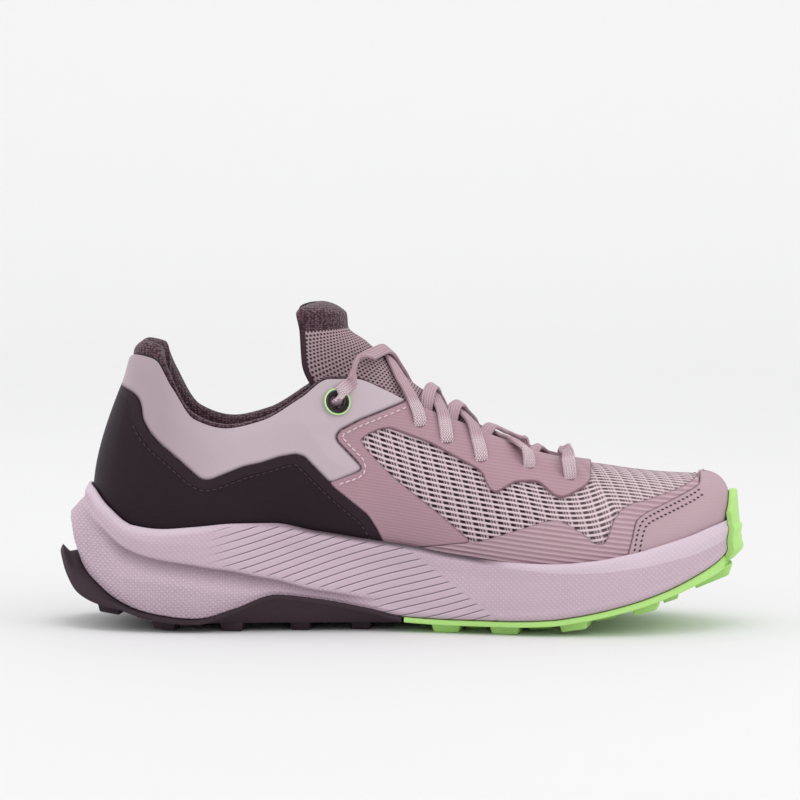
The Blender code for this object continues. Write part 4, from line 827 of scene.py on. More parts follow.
for share, tone in (
    ((knurl + 0.16) * 0.75, FOAM_LIGHT),
    (shade * 0.62, FOAM_SHADE),
    (groove_lip_highlight * 0.55, FOAM_LIGHT),
    (groove * 0.62, FOAM_SHADE),
    (maths("MAXIMUM", bevel, heel_rim_highlight), FOAM_LIGHT),
    (gap_shade * 0.90, FOAM_GAP_SHADE),
):
    colour = blend(share, colour, tone)
paint(foam, colour, knurl - groove * 2.6, 0.00025)
finished(midsole, foam, "midsole_foam", "midsole")

# Insole: a thin sock liner laid on the footbed inside the upper.

INSOLE, WALL, LINER = 0.0040, 0.0020, (0.055, 0.036, 0.046)
INSIDE_WALL = WALL + 3 * GAP
station = np.linspace(0, 1, 120)
spread = np.linspace(0, 1, 14)[:, None]
grids = []
for sign in (1, -1):
    at = sign * station
    middle = middle_point(at)[:, None]
    edge = (seat_edge(at) - seat_facing(at) * INSIDE_WALL)[:, None]
    places = middle + (edge - middle) * spread
    low = np.concatenate([places, height_at(FOOTBED, places[..., :1]) + GAP], -1)
    grids.append(np.concatenate([low, low[:, ::-1] + INSOLE * UP], 1))
sock_liner = surface("sock_liner", grids, sharp=60)
liner_knit = plain("sock_liner_knit", LINER, 0.9, 0.0009, 0.5, 0.0003)
finished(sock_liner, liner_knit, "sock_liner", "insole")

# Upper: one shell of open yarn mesh, 2 mm thick with a dark backing, lasted over the foot's form
# and closed down the middle of the toe. Lace holes are punched through it and its eyestay.

YARN, YARN_GAP = (0.50, 0.36, 0.40), (0.018, 0.008, 0.013)
YARN_DARK, YARN_PALE, YARN_FIBRE = (0.28, 0.17, 0.205), (0.66, 0.52, 0.56), (0.80, 0.70, 0.73)
ROW_PITCH, SLOT_PITCH, CROWN_REACH = 0.00237, 0.0053, 0.014
EYELET_BORE, LACE_HOLE_RADIUS = 0.0030, 0.0021
EYELETS = columns(
    "at height",
    (0.394, 0.840),
    (0.514, 0.757),
    (0.553, 0.700),
    (0.603, 0.634),
    (0.670, 0.603),
    (0.730, 0.560),
)


def hole_place(number, side):
    """A lace hole's centre on the wall, the wall's normal there, and its station and height."""
    stations, heights = np.linspace(0.38, 0.80, 211), np.linspace(0.4, 1.0, 151)
    station, height = np.meshgrid(stations, heights, indexing="ij")
    face = wall_point(side * station, height)
    x, z = place_x(EYELETS["at"][number]), EYELETS["height"][number] * COLLAR_HEIGHT
    nearest = int(np.argmin((face[..., 0] - x) ** 2 + (face[..., 2] - z) ** 2))
    at, up = side * station.flat[nearest], height.flat[nearest]
    return face.reshape(-1, 3)[nearest], wall_normal(at, up), at, up


sides = {(n, side): hole_place(n, side) for n in range(len(EYELETS["at"])) for side in (-1, 1)}


def beyond_holes(place):
    """How far points are from the lace holes' rims, below zero inside a hole."""
    away = np.full(place.shape[:-1], 1.0)
    for (number, _), (centre, axis, *_) in sides.items():
        offset = place - centre
        depth = offset @ axis
        radius = LACE_HOLE_RADIUS if number else EYELET_BORE
        across = np.linalg.norm(offset - depth[..., None] * axis, axis=-1) - radius
        away = np.where(np.abs(depth) < 0.006, np.minimum(away, across), away)
    return away


def outline_depth(place, outline):
    """How far points are inside an outline seen from the side, below zero outside it: the distance
    to the nearest side, with its sign from how many sides a line to the right crosses."""
    x, z = place[..., 0].ravel(), place[..., 2].ravel()
    best, inside = np.full(x.shape, 1e9), np.zeros(x.shape, bool)
    for (ax, az), (bx, bz) in zip(outline, np.roll(outline, -1, axis=0)):
        dx, dz = bx - ax, bz - az
        t = np.clip(((x - ax) * dx + (z - az) * dz) / max(dx * dx + dz * dz, 1e-12), 0, 1)
        best = np.minimum(best, (x - ax - t * dx) ** 2 + (z - az - t * dz) ** 2)
        crosses = (az > z) != (bz > z)
        inside ^= crosses & (x < ax + (z - az) * dx / (dz if abs(dz) > 1e-12 else 1e-12))
    return (np.where(inside, 1, -1) * np.sqrt(best)).reshape(place.shape[:-1])


def cut_sheet(station, height, depth):
    """The part of the wall where depth is above zero, as stations, heights and triangles: grid
    points next to the edge slide along their grid lines onto it, so the edge runs clean."""
    at, up = (grid.copy() for grid in np.meshgrid(station, height, indexing="ij"))
    field = depth(wall_point(at, up))
    furthest = 0.5001
    best = np.full(at.shape, furthest)
    moved_at, moved_up = at.copy(), up.copy()
    rows, cols = at.shape
    for i, j in ((0, 1), (1, 0), (1, 1)):
        a, b = (slice(0, rows - i), slice(0, cols - j)), (slice(i, rows), slice(j, cols))
        with np.errstate(divide="ignore", invalid="ignore"):
            share = field[a] / (field[a] - field[b])
        crossing = (field[a] > 0) != (field[b] > 0)
        for mine, other, part in ((a, b, share), (b, a, 1 - share)):
            take = crossing & (part < best[mine])
            best[mine] = np.where(take, part, best[mine])
            moved_at[mine] = np.where(take, at[mine] + (at[other] - at[mine]) * part, moved_at[mine])
            moved_up[mine] = np.where(take, up[mine] + (up[other] - up[mine]) * part, moved_up[mine])
    keep = np.where(best < furthest, 0.0, field)
    number = np.arange(at.size).reshape(at.shape)
    corner = [number[:-1, :-1], number[1:, :-1], number[1:, 1:], number[:-1, 1:]]
    triangles = np.concatenate(
        [np.stack([corner[0], corner[1], corner[2]], -1), np.stack([corner[0], corner[2], corner[3]], -1)]
    ).reshape(-1, 3)
    level = keep.ravel()[triangles]
    held = (level > -1e-9).all(1)
    flat = held & (level < 1e-9).all(1)
    middle_at = moved_at.ravel()[triangles[flat]].mean(1)
    middle_up = moved_up.ravel()[triangles[flat]].mean(1)
    held[flat] = depth(wall_point(middle_at, middle_up)) > 2e-5
    triangles = triangles[held]
    used, flat_index = np.unique(triangles, return_inverse=True)
    return moved_at.ravel()[used], moved_up.ravel()[used], flat_index.reshape(-1, 3)


def run_along(points, axis=0):
    """The distance along lines of points, from nothing at their first point."""
    run = np.linalg.norm(np.diff(points, axis=axis), axis=-1).cumsum(axis)
    return np.concatenate([0 * np.take(run, [0], axis), run], axis)


def cloth_places(station, height):
    """Places on the wall's cloth: how far along the shoe, and how far down from the top edge."""
    curve = wall_point(np.linspace(-1, 1, 401)[:, None], np.linspace(0, 1, 41)[None, :])
    run = run_along(curve, 1)
    down = run[:, -1:] - run
    wrapped = (np.asarray(station) + 1) % 2 - 1
    i = np.clip((wrapped + 1) * 200, 0, 399.999)
    j = np.clip(np.asarray(height) * 40, 0, 39.999)
    i0, j0 = i.astype(int), j.astype(int)
    fi, fj = i - i0, j - j0
    value = (
        down[i0, j0] * (1 - fi) * (1 - fj)
        + down[i0 + 1, j0] * fi * (1 - fj)
        + down[i0, j0 + 1] * (1 - fi) * fj
        + down[i0 + 1, j0 + 1] * fi * fj
    )
    return np.stack([wall_point(station, height)[..., 0], value], -1)


def wall_solid(name, sheet, thick, base, depth=None, crown=0.0, sharp=35):
    """A closed skin on the wall: its face stands off the wall by its thickness and swells by its
    crown, a squared sine of the way in from its edge. Its back lies at the base, and its free edges
    are joined by walls. Each point keeps its place on the cloth and its depth."""
    at, up, triangles = sheet
    place, normal = wall_point(at, up), wall_normal(at, up)
    inside = depth(place) if depth else np.ones(len(at))
    lift = thick + crown * np.sin(np.clip(inside / CROWN_REACH, 0, 1) * math.pi / 2) ** 2
    points = np.concatenate([place + normal * lift[:, None], place + normal * base])
    edges = np.concatenate([triangles[:, [0, 1]], triangles[:, [1, 2]], triangles[:, [2, 0]]])
    key = np.sort(edges, 1) @ np.array([1, len(at)])
    _, first, count = np.unique(key, return_index=True, return_counts=True)
    rim = edges[first[count == 1]]
    shift = len(at)
    walls = np.stack([rim[:, 1], rim[:, 0], rim[:, 0] + shift, rim[:, 1] + shift], -1)
    faces = triangles.tolist() + (triangles[:, ::-1] + shift).tolist() + walls.tolist()
    cloth = np.column_stack([np.tile(cloth_places(at, up), (2, 1)), np.tile(inside, 2)])
    return welded(name, points, faces, cloth, 1e-6, sharp, clean=False)


def band(value, centre, half, soft):
    """One within half of a centre, falling to nothing over a soft edge."""
    return soft_ramp(maths("ABSOLUTE", value - centre), half - soft, half + soft, 1.0, 0.0)


sheet = cut_sheet(np.linspace(-1, 1, 381), np.linspace(0, 1, 76), beyond_holes)
upper = wall_solid("upper_mesh", sheet, 0.0, -WALL, sharp=50)

mesh_cloth = new_material("upper_yarn_mesh", YARN, 0.78, Specular_IOR_Level=0.25)
along_cloth, down_cloth, _ = on_cloth(mesh_cloth.node_tree)
row = down_cloth / ROW_PITCH
column = maths("FRACT", (along_cloth - down_cloth * 0.22) / SLOT_PITCH)
slits = maths("MAXIMUM", *(band(column, centre, 0.055, 0.022) for centre in (0.60, 0.81)))
openings = maths("MAXIMUM", band(column, 0.26, 0.200, 0.035), slits * 0.85)
openings = band(maths("FRACT", row), 0.5, 0.245, 0.06) * openings
openings = openings * ramp(along_cloth, 0.135, 0.205, 1.0, 0.55)
yarn_round = maths("COSINE", row * (2 * math.pi))
yarn = blend(ramp(yarn_round, -1.0, 1.0, 0.25, 1.0), YARN_DARK, YARN_PALE)
yarn = blend(noise(mesh_cloth.node_tree, 1800.0, 2.0) * 0.25, yarn, YARN_FIBRE)
paint(mesh_cloth, blend(openings, yarn, YARN_GAP), yarn_round * 0.35 - openings * 1.5, 0.00035)
finished(upper, mesh_cloth, "mesh", "upper")

# Heel counter: a dark synthetic skin folded over along its upper edge and stitched down, moulded
# round the heel.

COUNTER_SKIN, COUNTER_FOLD = (0.018, 0.009, 0.0145), (0.036, 0.021, 0.028)
FACE, OUTSET = GAP + OVERLAY, 0.0004
COUNTER_OUTLINE = (
    (0.020, 0.905), (0.089, 0.885), (0.101, 0.869), (0.109, 0.852), (0.114, 0.824), (0.117, 0.773),
    (0.125, 0.733), (0.135, 0.701), (0.194, 0.569), (0.204, 0.556), (0.217, 0.558), (0.264, 0.605),
    (0.288, 0.619), (0.314, 0.641), (0.336, 0.652), (0.347, 0.644), (0.393, 0.527), (0.438, 0.431),
    (0.459, 0.347), (0.466, 0.285), (0.466, 0.10), (0.020, 0.10),
)


def side_line(*shares):
    """Side-view places from shares of the length and of the collar's height."""
    return np.array([(float(place_x(a)), b * COLLAR_HEIGHT) for a, b in shares])


def side_outline(shares):
    """A closed outline from shares to metres, with each corner given a small round."""
    points = side_line(*shares)
    closed = np.concatenate([points[-1:], points, points[:1]])[None]
    flat = np.zeros((1, closed.shape[1], 1))
    return rounded(np.concatenate([closed, flat], -1), 0.0012, 0.02)[0, 1:-1, :2]


def skin(name, outline, stations, heights, extra=0.0, crown=0.0, cut_holes=False):
    """An overlay on the wall inside an outline, let out a little to meet the next one."""
    corners = side_outline(outline)

    def depth(place):
        value = outline_depth(place, corners) + OUTSET
        return np.minimum(value, beyond_holes(place)) if cut_holes else value

    sheet = cut_sheet(stations, heights, depth)
    return wall_solid(name, sheet, FACE + extra, 0.00005, depth, crown)


def edge_round(inside, soft):
    """A skin's edge as a height: a quarter sine from nothing at the edge to one a soft width in."""
    return maths("SINE", ramp(inside, 0.0, soft, 0.0, math.pi / 2))


counter = skin(
    "heel_counter_skin", COUNTER_OUTLINE, np.linspace(-0.50, 0.50, 320), np.linspace(0.0, 0.93, 92)
)
counter_skin = new_material("counter_skin", COUNTER_SKIN, 0.58, Specular_IOR_Level=0.14)
colour, grain = moulded(counter_skin, COUNTER_SKIN, 0.0007, 0.35)
_, _, inside = on_cloth(counter_skin.node_tree)
fold = soft_ramp(inside, 0.0038, 0.0044, 1.0, 0.0)
colour = blend(fold * 0.30, colour, COUNTER_FOLD)
paint(counter_skin, colour, grain * 0.12 + fold * 0.5 + edge_round(inside, 0.0009), 0.00060)
finished(counter, counter_skin, "counter_skin", "heel_counter")

# Collar panel: smooth pale cloth over foam, so it swells between the collar and its seams.

PANEL_CLOTH, PANEL_REAR_SHADE = (0.485, 0.400, 0.437), (0.385, 0.300, 0.335)
SEAM_SHADE = (0.10, 0.055, 0.075)
PANEL_OUTLINE = (
    (0.020, 0.911), (0.090, 0.891), (0.104, 0.874), (0.113, 0.855), (0.118, 0.826), (0.121, 0.775),
    (0.129, 0.737), (0.139, 0.705), (0.197, 0.575), (0.205, 0.562), (0.216, 0.564), (0.262, 0.611),
    (0.287, 0.625), (0.313, 0.647), (0.337, 0.658), (0.350, 0.649), (0.3865, 0.553), (0.423, 0.588),
    (0.4285, 0.598), (0.4280, 0.607), (0.395, 0.694), (0.3915, 0.717), (0.398, 0.742), (0.428, 0.779),
    (0.492, 0.838), (0.505, 0.890), (0.480, 1.200), (0.020, 1.200),
)
panel = skin(
    "collar_panel_cloth", PANEL_OUTLINE, np.linspace(-0.54, 0.54, 400), np.linspace(0.30, 1.0, 100),
    crown=0.0012, cut_holes=True,
)
panel_cloth = new_material("collar_cloth", PANEL_CLOTH, 0.60, Specular_IOR_Level=0.30, Sheen_Weight=0.15)
colour, grain = moulded(panel_cloth, PANEL_CLOTH, 0.0006, 0.06)
_, _, inside = on_cloth(panel_cloth.node_tree)
x, _, _ = on_shoe(panel_cloth.node_tree)
# The panel is painted darker towards the heel: painted shade.
colour = blend(ramp(x, -0.015, 0.015, 1.0, 0.0), colour, PANEL_REAR_SHADE)
colour = blend(ramp(inside, 0.0001, 0.0008, 0.85, 0.0), colour, SEAM_SHADE)
paint(panel_cloth, colour, grain * 0.05 + edge_round(inside, 0.0016), 0.00090)
finished(panel, panel_cloth, "collar_cloth", "collar_panel")

# Eyestay: a smooth pink skin with faint pinstripes that carries the lace holes and runs down in
# front of the heel counter, welded over the mesh.

SKIN_EDGE_SHADE, SKIN_RELIEF = (0.17, 0.09, 0.115), 0.0006
EYESTAY_OUTLINE = (
    (0.509, 0.885), (0.4965, 0.832), (0.430, 0.770), (0.401, 0.734), (0.396, 0.716), (0.399, 0.698),
    (0.422, 0.639), (0.432, 0.608), (0.432, 0.595), (0.426, 0.583), (0.3865, 0.550), (0.395, 0.530),
    (0.441, 0.435), (0.452, 0.394), (0.462, 0.347), (0.469, 0.284), (0.482, 0.276), (0.486, 0.308),
    (0.586, 0.340), (0.544, 0.431), (0.486, 0.545), (0.465, 0.592), (0.436, 0.668), (0.428, 0.701),
    (0.433, 0.715), (0.443, 0.730), (0.458, 0.744), (0.472, 0.748), (0.530, 0.692), (0.599, 0.598),
    (0.606, 0.581), (0.611, 0.549), (0.617, 0.525), (0.624, 0.518), (0.650, 0.554), (0.676, 0.555),
    (0.686, 0.550), (0.706, 0.507), (0.716, 0.497), (0.726, 0.503), (0.751, 0.532), (0.759, 0.551),
    (0.764, 0.609), (0.764, 0.700), (0.600, 0.900),
)


def both_sides(name, outline, stations, heights, cut_holes=False):
    """The same outline as a skin on the inner side and on the outer side."""
    return [
        skin(name.format(word), outline, side * stations[::side], heights, cut_holes=cut_holes)
        for side, word in ((-1, "inner"), (1, "outer"))
    ]


def pinstriped(name, low, high, pitch, depth, slope):
    """A smooth skin with fine raised stripes that slope across the shoe's side."""
    material = new_material(name, high, 0.46, Specular_IOR_Level=0.40)
    x, _, z = on_shoe(material.node_tree)
    _, _, inside = on_cloth(material.node_tree)
    wave = maths("SINE", (z + x * slope) * (2 * math.pi / pitch))
    colour, _ = moulded(material, blend(ramp(wave, -1.0, 1.0), low, high), 0.0010, 0.08)
    # The skin is painted darker over its last half millimetre to the edge: painted shade where it rounds
    # down onto the mesh.
    colour = blend(ramp(inside, 0.0001, 0.0005, 0.45, 0.0), colour, SKIN_EDGE_SHADE)
    paint(material, colour, wave * (depth / SKIN_RELIEF) + edge_round(inside, 0.0007), SKIN_RELIEF)
    return material


eyestay = both_sides(
    "eyestay_{}", EYESTAY_OUTLINE, np.linspace(0.40, 0.80, 310), np.linspace(0.0, 1.0, 156), cut_holes=True
)
overlay_skin = pinstriped(
    "overlay_skin", (0.345, 0.205, 0.245), (0.385, 0.235, 0.278), 0.00126, 0.00002, 0.16
)
for piece in eyestay:
    finished(piece, overlay_skin, "overlay_skin", "eyestay")

# Mudguards: ribbed pink skins along each side of the forefoot, welded over the mesh just above
# the midsole.

MUDGUARD_OUTLINE = (
    (0.488, 0.10), (0.489, 0.3035), (0.602, 0.339), (0.693, 0.410), (0.710, 0.414), (0.722, 0.403),
    (0.750, 0.358), (0.761, 0.333), (0.772, 0.326), (0.780, 0.338), (0.792, 0.414), (0.803, 0.443),
    (0.819, 0.464), (0.839, 0.474), (0.892, 0.514), (0.912, 0.538), (0.918, 0.553), (0.918, 0.524),
    (0.836, 0.434), (0.8225, 0.410), (0.8085, 0.295), (0.8055, 0.10),
)
guard_skin = pinstriped("guard_skin", (0.350, 0.215, 0.258), (0.500, 0.345, 0.388), 0.0020, 0.00022, 0.13)
guards = both_sides(
    "mudguard_{}_skin", MUDGUARD_OUTLINE, np.linspace(0.44, 0.96, 300), np.linspace(0.0, 0.90, 100)
)
for guard, node in zip(guards, ("mudguard_inner", "mudguard_outer")):
    finished(guard, guard_skin, "guard_skin", node)

# Toe cap: one smooth pink skin over the front of the toe, edged with two rows of stitches.

TOE_CAP_OUTLINE = (
    (0.8085, 0.10), (0.8085, 0.257), (0.811, 0.295), (0.825, 0.408), (0.838, 0.431), (0.911, 0.509),
    (0.920, 0.523), (0.923, 0.553), (0.923, 0.640), (1.050, 0.640), (1.050, 0.10),
)
cap = skin(
    "toe_cap_skin", TOE_CAP_OUTLINE, np.linspace(0.74, 1.26, 270), np.linspace(0.0, 1.0, 110), 0.0002
)
cap_skin = pinstriped("toe_cap_skin", (0.425, 0.290, 0.330), (0.435, 0.300, 0.340), 0.0012, 0.00001, 0.0)
finished(cap, cap_skin, "overlay_skin", "toe_cap")

# Padded collar: foam under a dark knit that rolls over the upper's edge and down inside it.

COLLAR_FRONT, COLLAR_ROLL, COLLAR_PAD = 0.420, 0.0080, 0.0055
COLLAR = columns(
    "station rise pad",
    (0.00, 0.98 * COLLAR_ROLL, 0.95 * COLLAR_PAD),
    (0.10, 1.00 * COLLAR_ROLL, 1.00 * COLLAR_PAD),
    (0.18, 0.85 * COLLAR_ROLL, 1.00 * COLLAR_PAD),
    (0.25, 0.48 * COLLAR_ROLL, 0.95 * COLLAR_PAD),
    (0.32, 0.35 * COLLAR_ROLL, 0.90 * COLLAR_PAD),
    (0.40, 0.32 * COLLAR_ROLL, 0.70 * COLLAR_PAD),
    (0.44, 0.25 * COLLAR_ROLL, 0.45 * COLLAR_PAD),
)
station = np.linspace(-COLLAR_FRONT, COLLAR_FRONT, 260)
rise, pad = (along(COLLAR, name, np.abs(station))[:, None] for name in ("rise", "pad"))
steps = np.array([[0.45, 0.62, 0.80, 0.90, 0.985]])
outer, normal = wall_point(station[:, None], steps), wall_normal(station[:, None], steps)
edge, edge_normal = wall_point(station, np.ones(260)), wall_normal(station, np.full(260, 0.97))
clear = WALL + GAP
deep = clear + pad * np.array([0.10, 0.45, 0.90, 1.05, 1.05])
roll = [
    edge - edge_normal * clear + UP * GAP,
    edge + edge_normal * 0.0004 + UP * GAP * 1.5,
    edge + edge_normal * 0.0006 + UP * rise * 0.45,
]
for inward, upward in ((0.12, 0.86), (0.48, 1.05), (0.86, 0.80)):
    roll.append(edge - edge_normal * (inward * (clear + pad)) + UP * rise * upward)
inner = (outer - normal * deep[..., None])[:, ::-1]


def softened(rows):
    """Corners cut twice round closed rows: each side gives points at its quarter and its three
    quarters."""
    for _ in range(2):
        onward = np.roll(rows, -1, axis=1)
        rows = np.stack([0.75 * rows + 0.25 * onward, 0.25 * rows + 0.75 * onward], 2)
        rows = rows.reshape(len(rows), -1, 3)
    return rows


ring = softened(np.concatenate([outer - normal * clear, np.stack(roll, 1), inner], 1))
collar = surface("collar_knit", [looped(ring)], caps=[ring[0], ring[-1]], sharp=80)


def knitted(name, low, high, pitch):
    """A fine knit: small raised loops, dark between them."""
    material = new_material(name, low, 0.9, Specular_IOR_Level=0.15, Sheen_Weight=0.25)
    tree = material.node_tree
    place = add(tree, "TexCoord").outputs["Object"]
    stretch = add(tree, "VectorMath", place, (1.0, 1.0, 1.5), operation="MULTIPLY").outputs[0]
    loops = add(tree, "TexVoronoi")
    for socket, value in (("Vector", stretch), ("Scale", 1 / pitch), ("Randomness", 0.55)):
        join(value, loops.inputs[socket])
    raised = ramp(Number(loops.outputs["Distance"]), 0.15, 0.65, 1.0, 0.0)
    colour, _ = moulded(material, blend(raised, low, high), 0.0020, 0.5)
    paint(material, colour, raised, 0.0004)
    return material


lining_knit = knitted("lining_knit", (0.032, 0.013, 0.020), (0.165, 0.082, 0.108), 0.0013)
finished(collar, lining_knit, "lining_knit", "collar_lining")

# Tongue: an open mesh over thin foam, bound in dark tape along its edges, and its top: a dark
# knit roll stitched on.

TONGUE_PAD, TONGUE_ROLL, TONGUE_SEAM, TONGUE_WRAP = 0.0042, 0.0075, 6, math.radians(78)
TONGUE_MESH, TONGUE_TAPE = (0.40, 0.285, 0.315), (0.050, 0.026, 0.036)
HOLE_ROW, HOLE_PITCH = 0.00128, 0.00158
TONGUE = columns(
    "row ridge_x ridge_z edge_x edge_y edge_z thick",
    (0, 0.716, 0.955 * VAMP_HEIGHT, 0.708, 0.26, 0.915 * VAMP_HEIGHT, 0.60 * TONGUE_PAD),
    (1, 0.645, 1.060 * VAMP_HEIGHT, 0.630, 0.50, 0.930 * VAMP_HEIGHT, 0.80 * TONGUE_PAD),
    (2, 0.570, 0.840 * THROAT_HEIGHT, 0.535, 0.58, 0.675 * THROAT_HEIGHT, 0.90 * TONGUE_PAD),
    (3, 0.500, 0.970 * THROAT_HEIGHT, 0.440, 0.58, 0.770 * THROAT_HEIGHT, 1.00 * TONGUE_PAD),
    (4, 0.458, 1.072 * THROAT_HEIGHT, 0.364, 0.47, 0.930 * THROAT_HEIGHT, 1.00 * TONGUE_PAD),
    (5, 0.437, 1.125 * THROAT_HEIGHT, 0.345, 0.50, 1.045 * THROAT_HEIGHT, 1.00 * TONGUE_PAD),
    (6, 0.411, 1.181 * THROAT_HEIGHT, 0.342, 0.56, 1.172 * THROAT_HEIGHT, 1.00 * TONGUE_PAD),
    (7, 0.409, 1.233 * THROAT_HEIGHT, 0.338, 0.58, 1.240 * THROAT_HEIGHT, 1.00 * TONGUE_ROLL),
    (8, 0.384, 1.288 * THROAT_HEIGHT, 0.347, 0.46, 1.275 * THROAT_HEIGHT, 0.70 * TONGUE_ROLL),
)
TONGUE["edge_y"] *= THROAT_WIDTH


def tongue_rows(row):
    """Loops round the tongue: an arc over the instep and the same arc set in by its thickness, and
    each point's place on the cloth: across, along, and in from the side edge."""
    value = {name: values[:, None] for name, values in all_along(TONGUE, row).items()}
    swing = along(PLAN, "swing", value["ridge_x"]) * LENGTH * 0.5
    angle = np.linspace(-1, 1, 41)[None] * TONGUE_WRAP
    side_share = np.sin(angle) / math.sin(TONGUE_WRAP)
    back_share = (1 - np.cos(angle)) / (1 - math.cos(TONGUE_WRAP))
    ridge = np.stack([place_x(value["ridge_x"]), swing, value["ridge_z"]], -1)
    drop = np.stack([place_x(value["edge_x"]), swing, value["edge_z"]], -1) - ridge
    outer = ridge + back_share[..., None] * drop
    outer[..., 1] += side_share * value["edge_y"]
    inward = np.cos(angle)[..., None] * unit(drop)
    inward[..., 1] -= np.sin(angle)
    thick = value["thick"] * (0.45 + 0.55 * np.cos(angle / TONGUE_WRAP * math.pi / 2) ** 0.5)
    inner = outer + inward * thick[..., None]
    run = run_along(ridge[:, 0])[:, None] + 0 * angle
    width = run_along(outer, 1)
    half = width[:, -1:] / 2
    spread = width - half
    marks = np.stack([spread, run, half - np.abs(spread)], -1)
    return [np.concatenate(pair, 1) for pair in ((outer, inner[:, ::-1]), (marks, marks[:, ::-1]))]


def tongue_piece(name, first, last, count, taper=False):
    """A stretch of the tongue with soft edges, closed at both ends."""
    loops, marks = tongue_rows(np.linspace(first, last, count))
    if taper:
        middle = loops.mean(1, keepdims=True)
        share = np.linspace(0, 1, count)[:, None, None]
        loops = middle + (loops - middle) * np.sqrt(1 - 0.75 * np.clip((share - 0.72) / 0.28, 0, 1) ** 3)
    loops, marks = softened(loops), softened(marks)
    return surface(
        name, [looped(loops)], caps=[loops[0], loops[-1]], sharp=70,
        marks=[looped(marks), marks[0], marks[-1]],
    )


tongue = tongue_piece("tongue_mesh", 0, TONGUE_SEAM, 120)
tongue_cloth = new_material("tongue_mesh", TONGUE_MESH, 0.85, Specular_IOR_Level=0.2)
spread, run, edge = on_cloth(tongue_cloth.node_tree)
rows = run / HOLE_ROW
odd = maths("MODULO", maths("FLOOR", rows), 2.0) * 0.5
cell = maths("FRACT", (spread + 0.1) / HOLE_PITCH + odd)
wide, tall = (cell - 0.5) / 0.31, (maths("FRACT", rows) - 0.5) / 0.30
hole = ramp(wide * wide + tall * tall, 0.8, 1.2, 1.0, 0.0)
tape = ramp(edge, 0.0020, 0.0024, 1.0, 0.0)
colour = blend(tape, blend(hole * 0.92, TONGUE_MESH, YARN_GAP), TONGUE_TAPE)
colour, _ = moulded(tongue_cloth, colour, 0.0008, 0.25)
paint(tongue_cloth, colour, tape * 0.6 - hole * (1.0 - tape), 0.0005)
finished(tongue, tongue_cloth, "tongue_mesh", "tongue")

tongue_top = tongue_piece("tongue_top_roll", TONGUE_SEAM + 0.01, 8, 60, taper=True)
finished(tongue_top, lining_knit, "lining_knit", "tongue_top")

# Edge binding: dark knit tape folded over the throat's edge in front of the padded collar.

station = np.linspace(0.405, 0.512, 70)
angle = np.linspace(0, 2 * math.pi, 25)[:, None]
from_end = np.minimum(station - 0.4049, 0.5121 - station)
girth = 0.0012 * np.sqrt(np.clip(from_end / 0.006, 0, 1))[:, None, None]
for side, name in ((-1, "inner"), (1, "outer")):
    line = wall_point(side * station, np.ones(70))
    facing = wall_normal(side * station, np.full(70, 0.98))
    sweep = girth * (np.cos(angle) * facing[:, None] * 1.35 + np.sin(angle) * UP)
    middle = (line - facing * 0.0003 + UP * 0.0004)[:, None]
    tape = surface(f"throat_binding_{name}", [middle + sweep], sharp=80)
    finished(tape, lining_knit, "lining_knit")

# Top eyelets: a dished dark grommet on each side, set in a thin lime ring.

GROMMET, RING_LIME = (0.020, 0.012, 0.016), (0.52, 0.86, 0.34)
DISH = np.array([
    (0.00270, -0.0004), (0.0048, -0.0002), (0.00490, 0.0010), (0.00478, 0.0014), (0.00455, 0.0015),
    (0.00425, 0.0012), (0.0038, 0.0007), (0.0034, 0.0004), (0.0030, 0.00025), (0.00275, 0.0001),
    (0.00270, -0.0004),
])
angle = np.linspace(0, 2 * math.pi, 17)
RING = np.column_stack([0.00528 + 0.00036 * np.cos(angle), 0.0007 + 0.0006 * np.sin(angle)])


def turned(name, centre, axis, profile):
    """A profile of radii and heights turned round an axis."""
    across = unit(np.cross(axis, UP))
    angle = np.linspace(0, 2 * math.pi, 73)[:, None, None]
    spoke = np.cos(angle) * across + np.sin(angle) * np.cross(across, axis)
    return surface(name, [centre + profile[:, 1:] * axis + profile[:, :1] * spoke], sharp=60)


trim = plain("grommet", GROMMET, 0.28, 0.0008, 0.3, 0.00003, Specular_IOR_Level=0.6, Coat_Weight=0.3)
lime_ring = new_material("lime_ring", LIME, 0.4)
paint(lime_ring, *moulded(lime_ring, RING_LIME, 0.0006, 0.1), 0.00004)
rims = []
for side, name in ((-1, "inner"), (1, "outer")):
    centre, axis, *_ = sides[0, side]
    seat = centre + axis * (OVERLAY + 2 * GAP)
    for word, profile, material in (("grommet", DISH, trim), ("eyelet_ring", RING, lime_ring)):
        rims.append(turned(f"{word}_{name}", seat, axis, profile))
        finished(rims[-1], material, "eyelet_trim", f"eyelet_{name}")

# Laces: flat woven ribbons with ribs along them, laced over the tongue: each comes out of a hole,
# crosses and tucks under the far edge. The first pair goes down into the top eyelets.

LACE_WIDTH, LACE_THICK, LACE_REST = 0.0055, 0.0016, 0.0006
LACE_RIBS, PICK_PITCH, RING_CREST = 5, 0.00100, 0.474
LACE_WEAVE, LACE_FURROW, LACE_DOT = (0.49, 0.335, 0.38), (0.25, 0.13, 0.17), (0.90, 0.82, 0.85)


def resting_height(trees, x, y):
    """The highest face below a point, looking straight down."""
    hits = [tree.ray_cast(Vector((x, y, 1.0)), Vector((0, 0, -1)))[0] for tree in trees]
    return max((hit.z for hit in hits if hit), default=0.0)


def taut(shares, heights):
    """The heights of a string pulled over supports: their upper hull."""
    kept = []
    for point in zip(shares, heights):
        while len(kept) > 1 and (kept[-1][1] - kept[-2][1]) * (point[0] - kept[-2][0]) <= (
            point[1] - kept[-2][1]
        ) * (kept[-1][0] - kept[-2][0]):
            kept.pop()
        kept.append(point)
    return np.interp(shares, *np.array(kept).T)


def smoothed(values, reach):
    """A running mean along a row, whose two ends stay where they are."""
    window = np.ones(2 * reach + 1) / (2 * reach + 1)
    room = [(reach, reach)] + [(0, 0)] * (values.ndim - 1)
    padded = np.pad(values, room, mode="reflect", reflect_type="odd")
    if values.ndim == 1:
        return np.convolve(padded, window, "valid")
    return np.stack([np.convolve(column, window, "valid") for column in padded.T], -1)


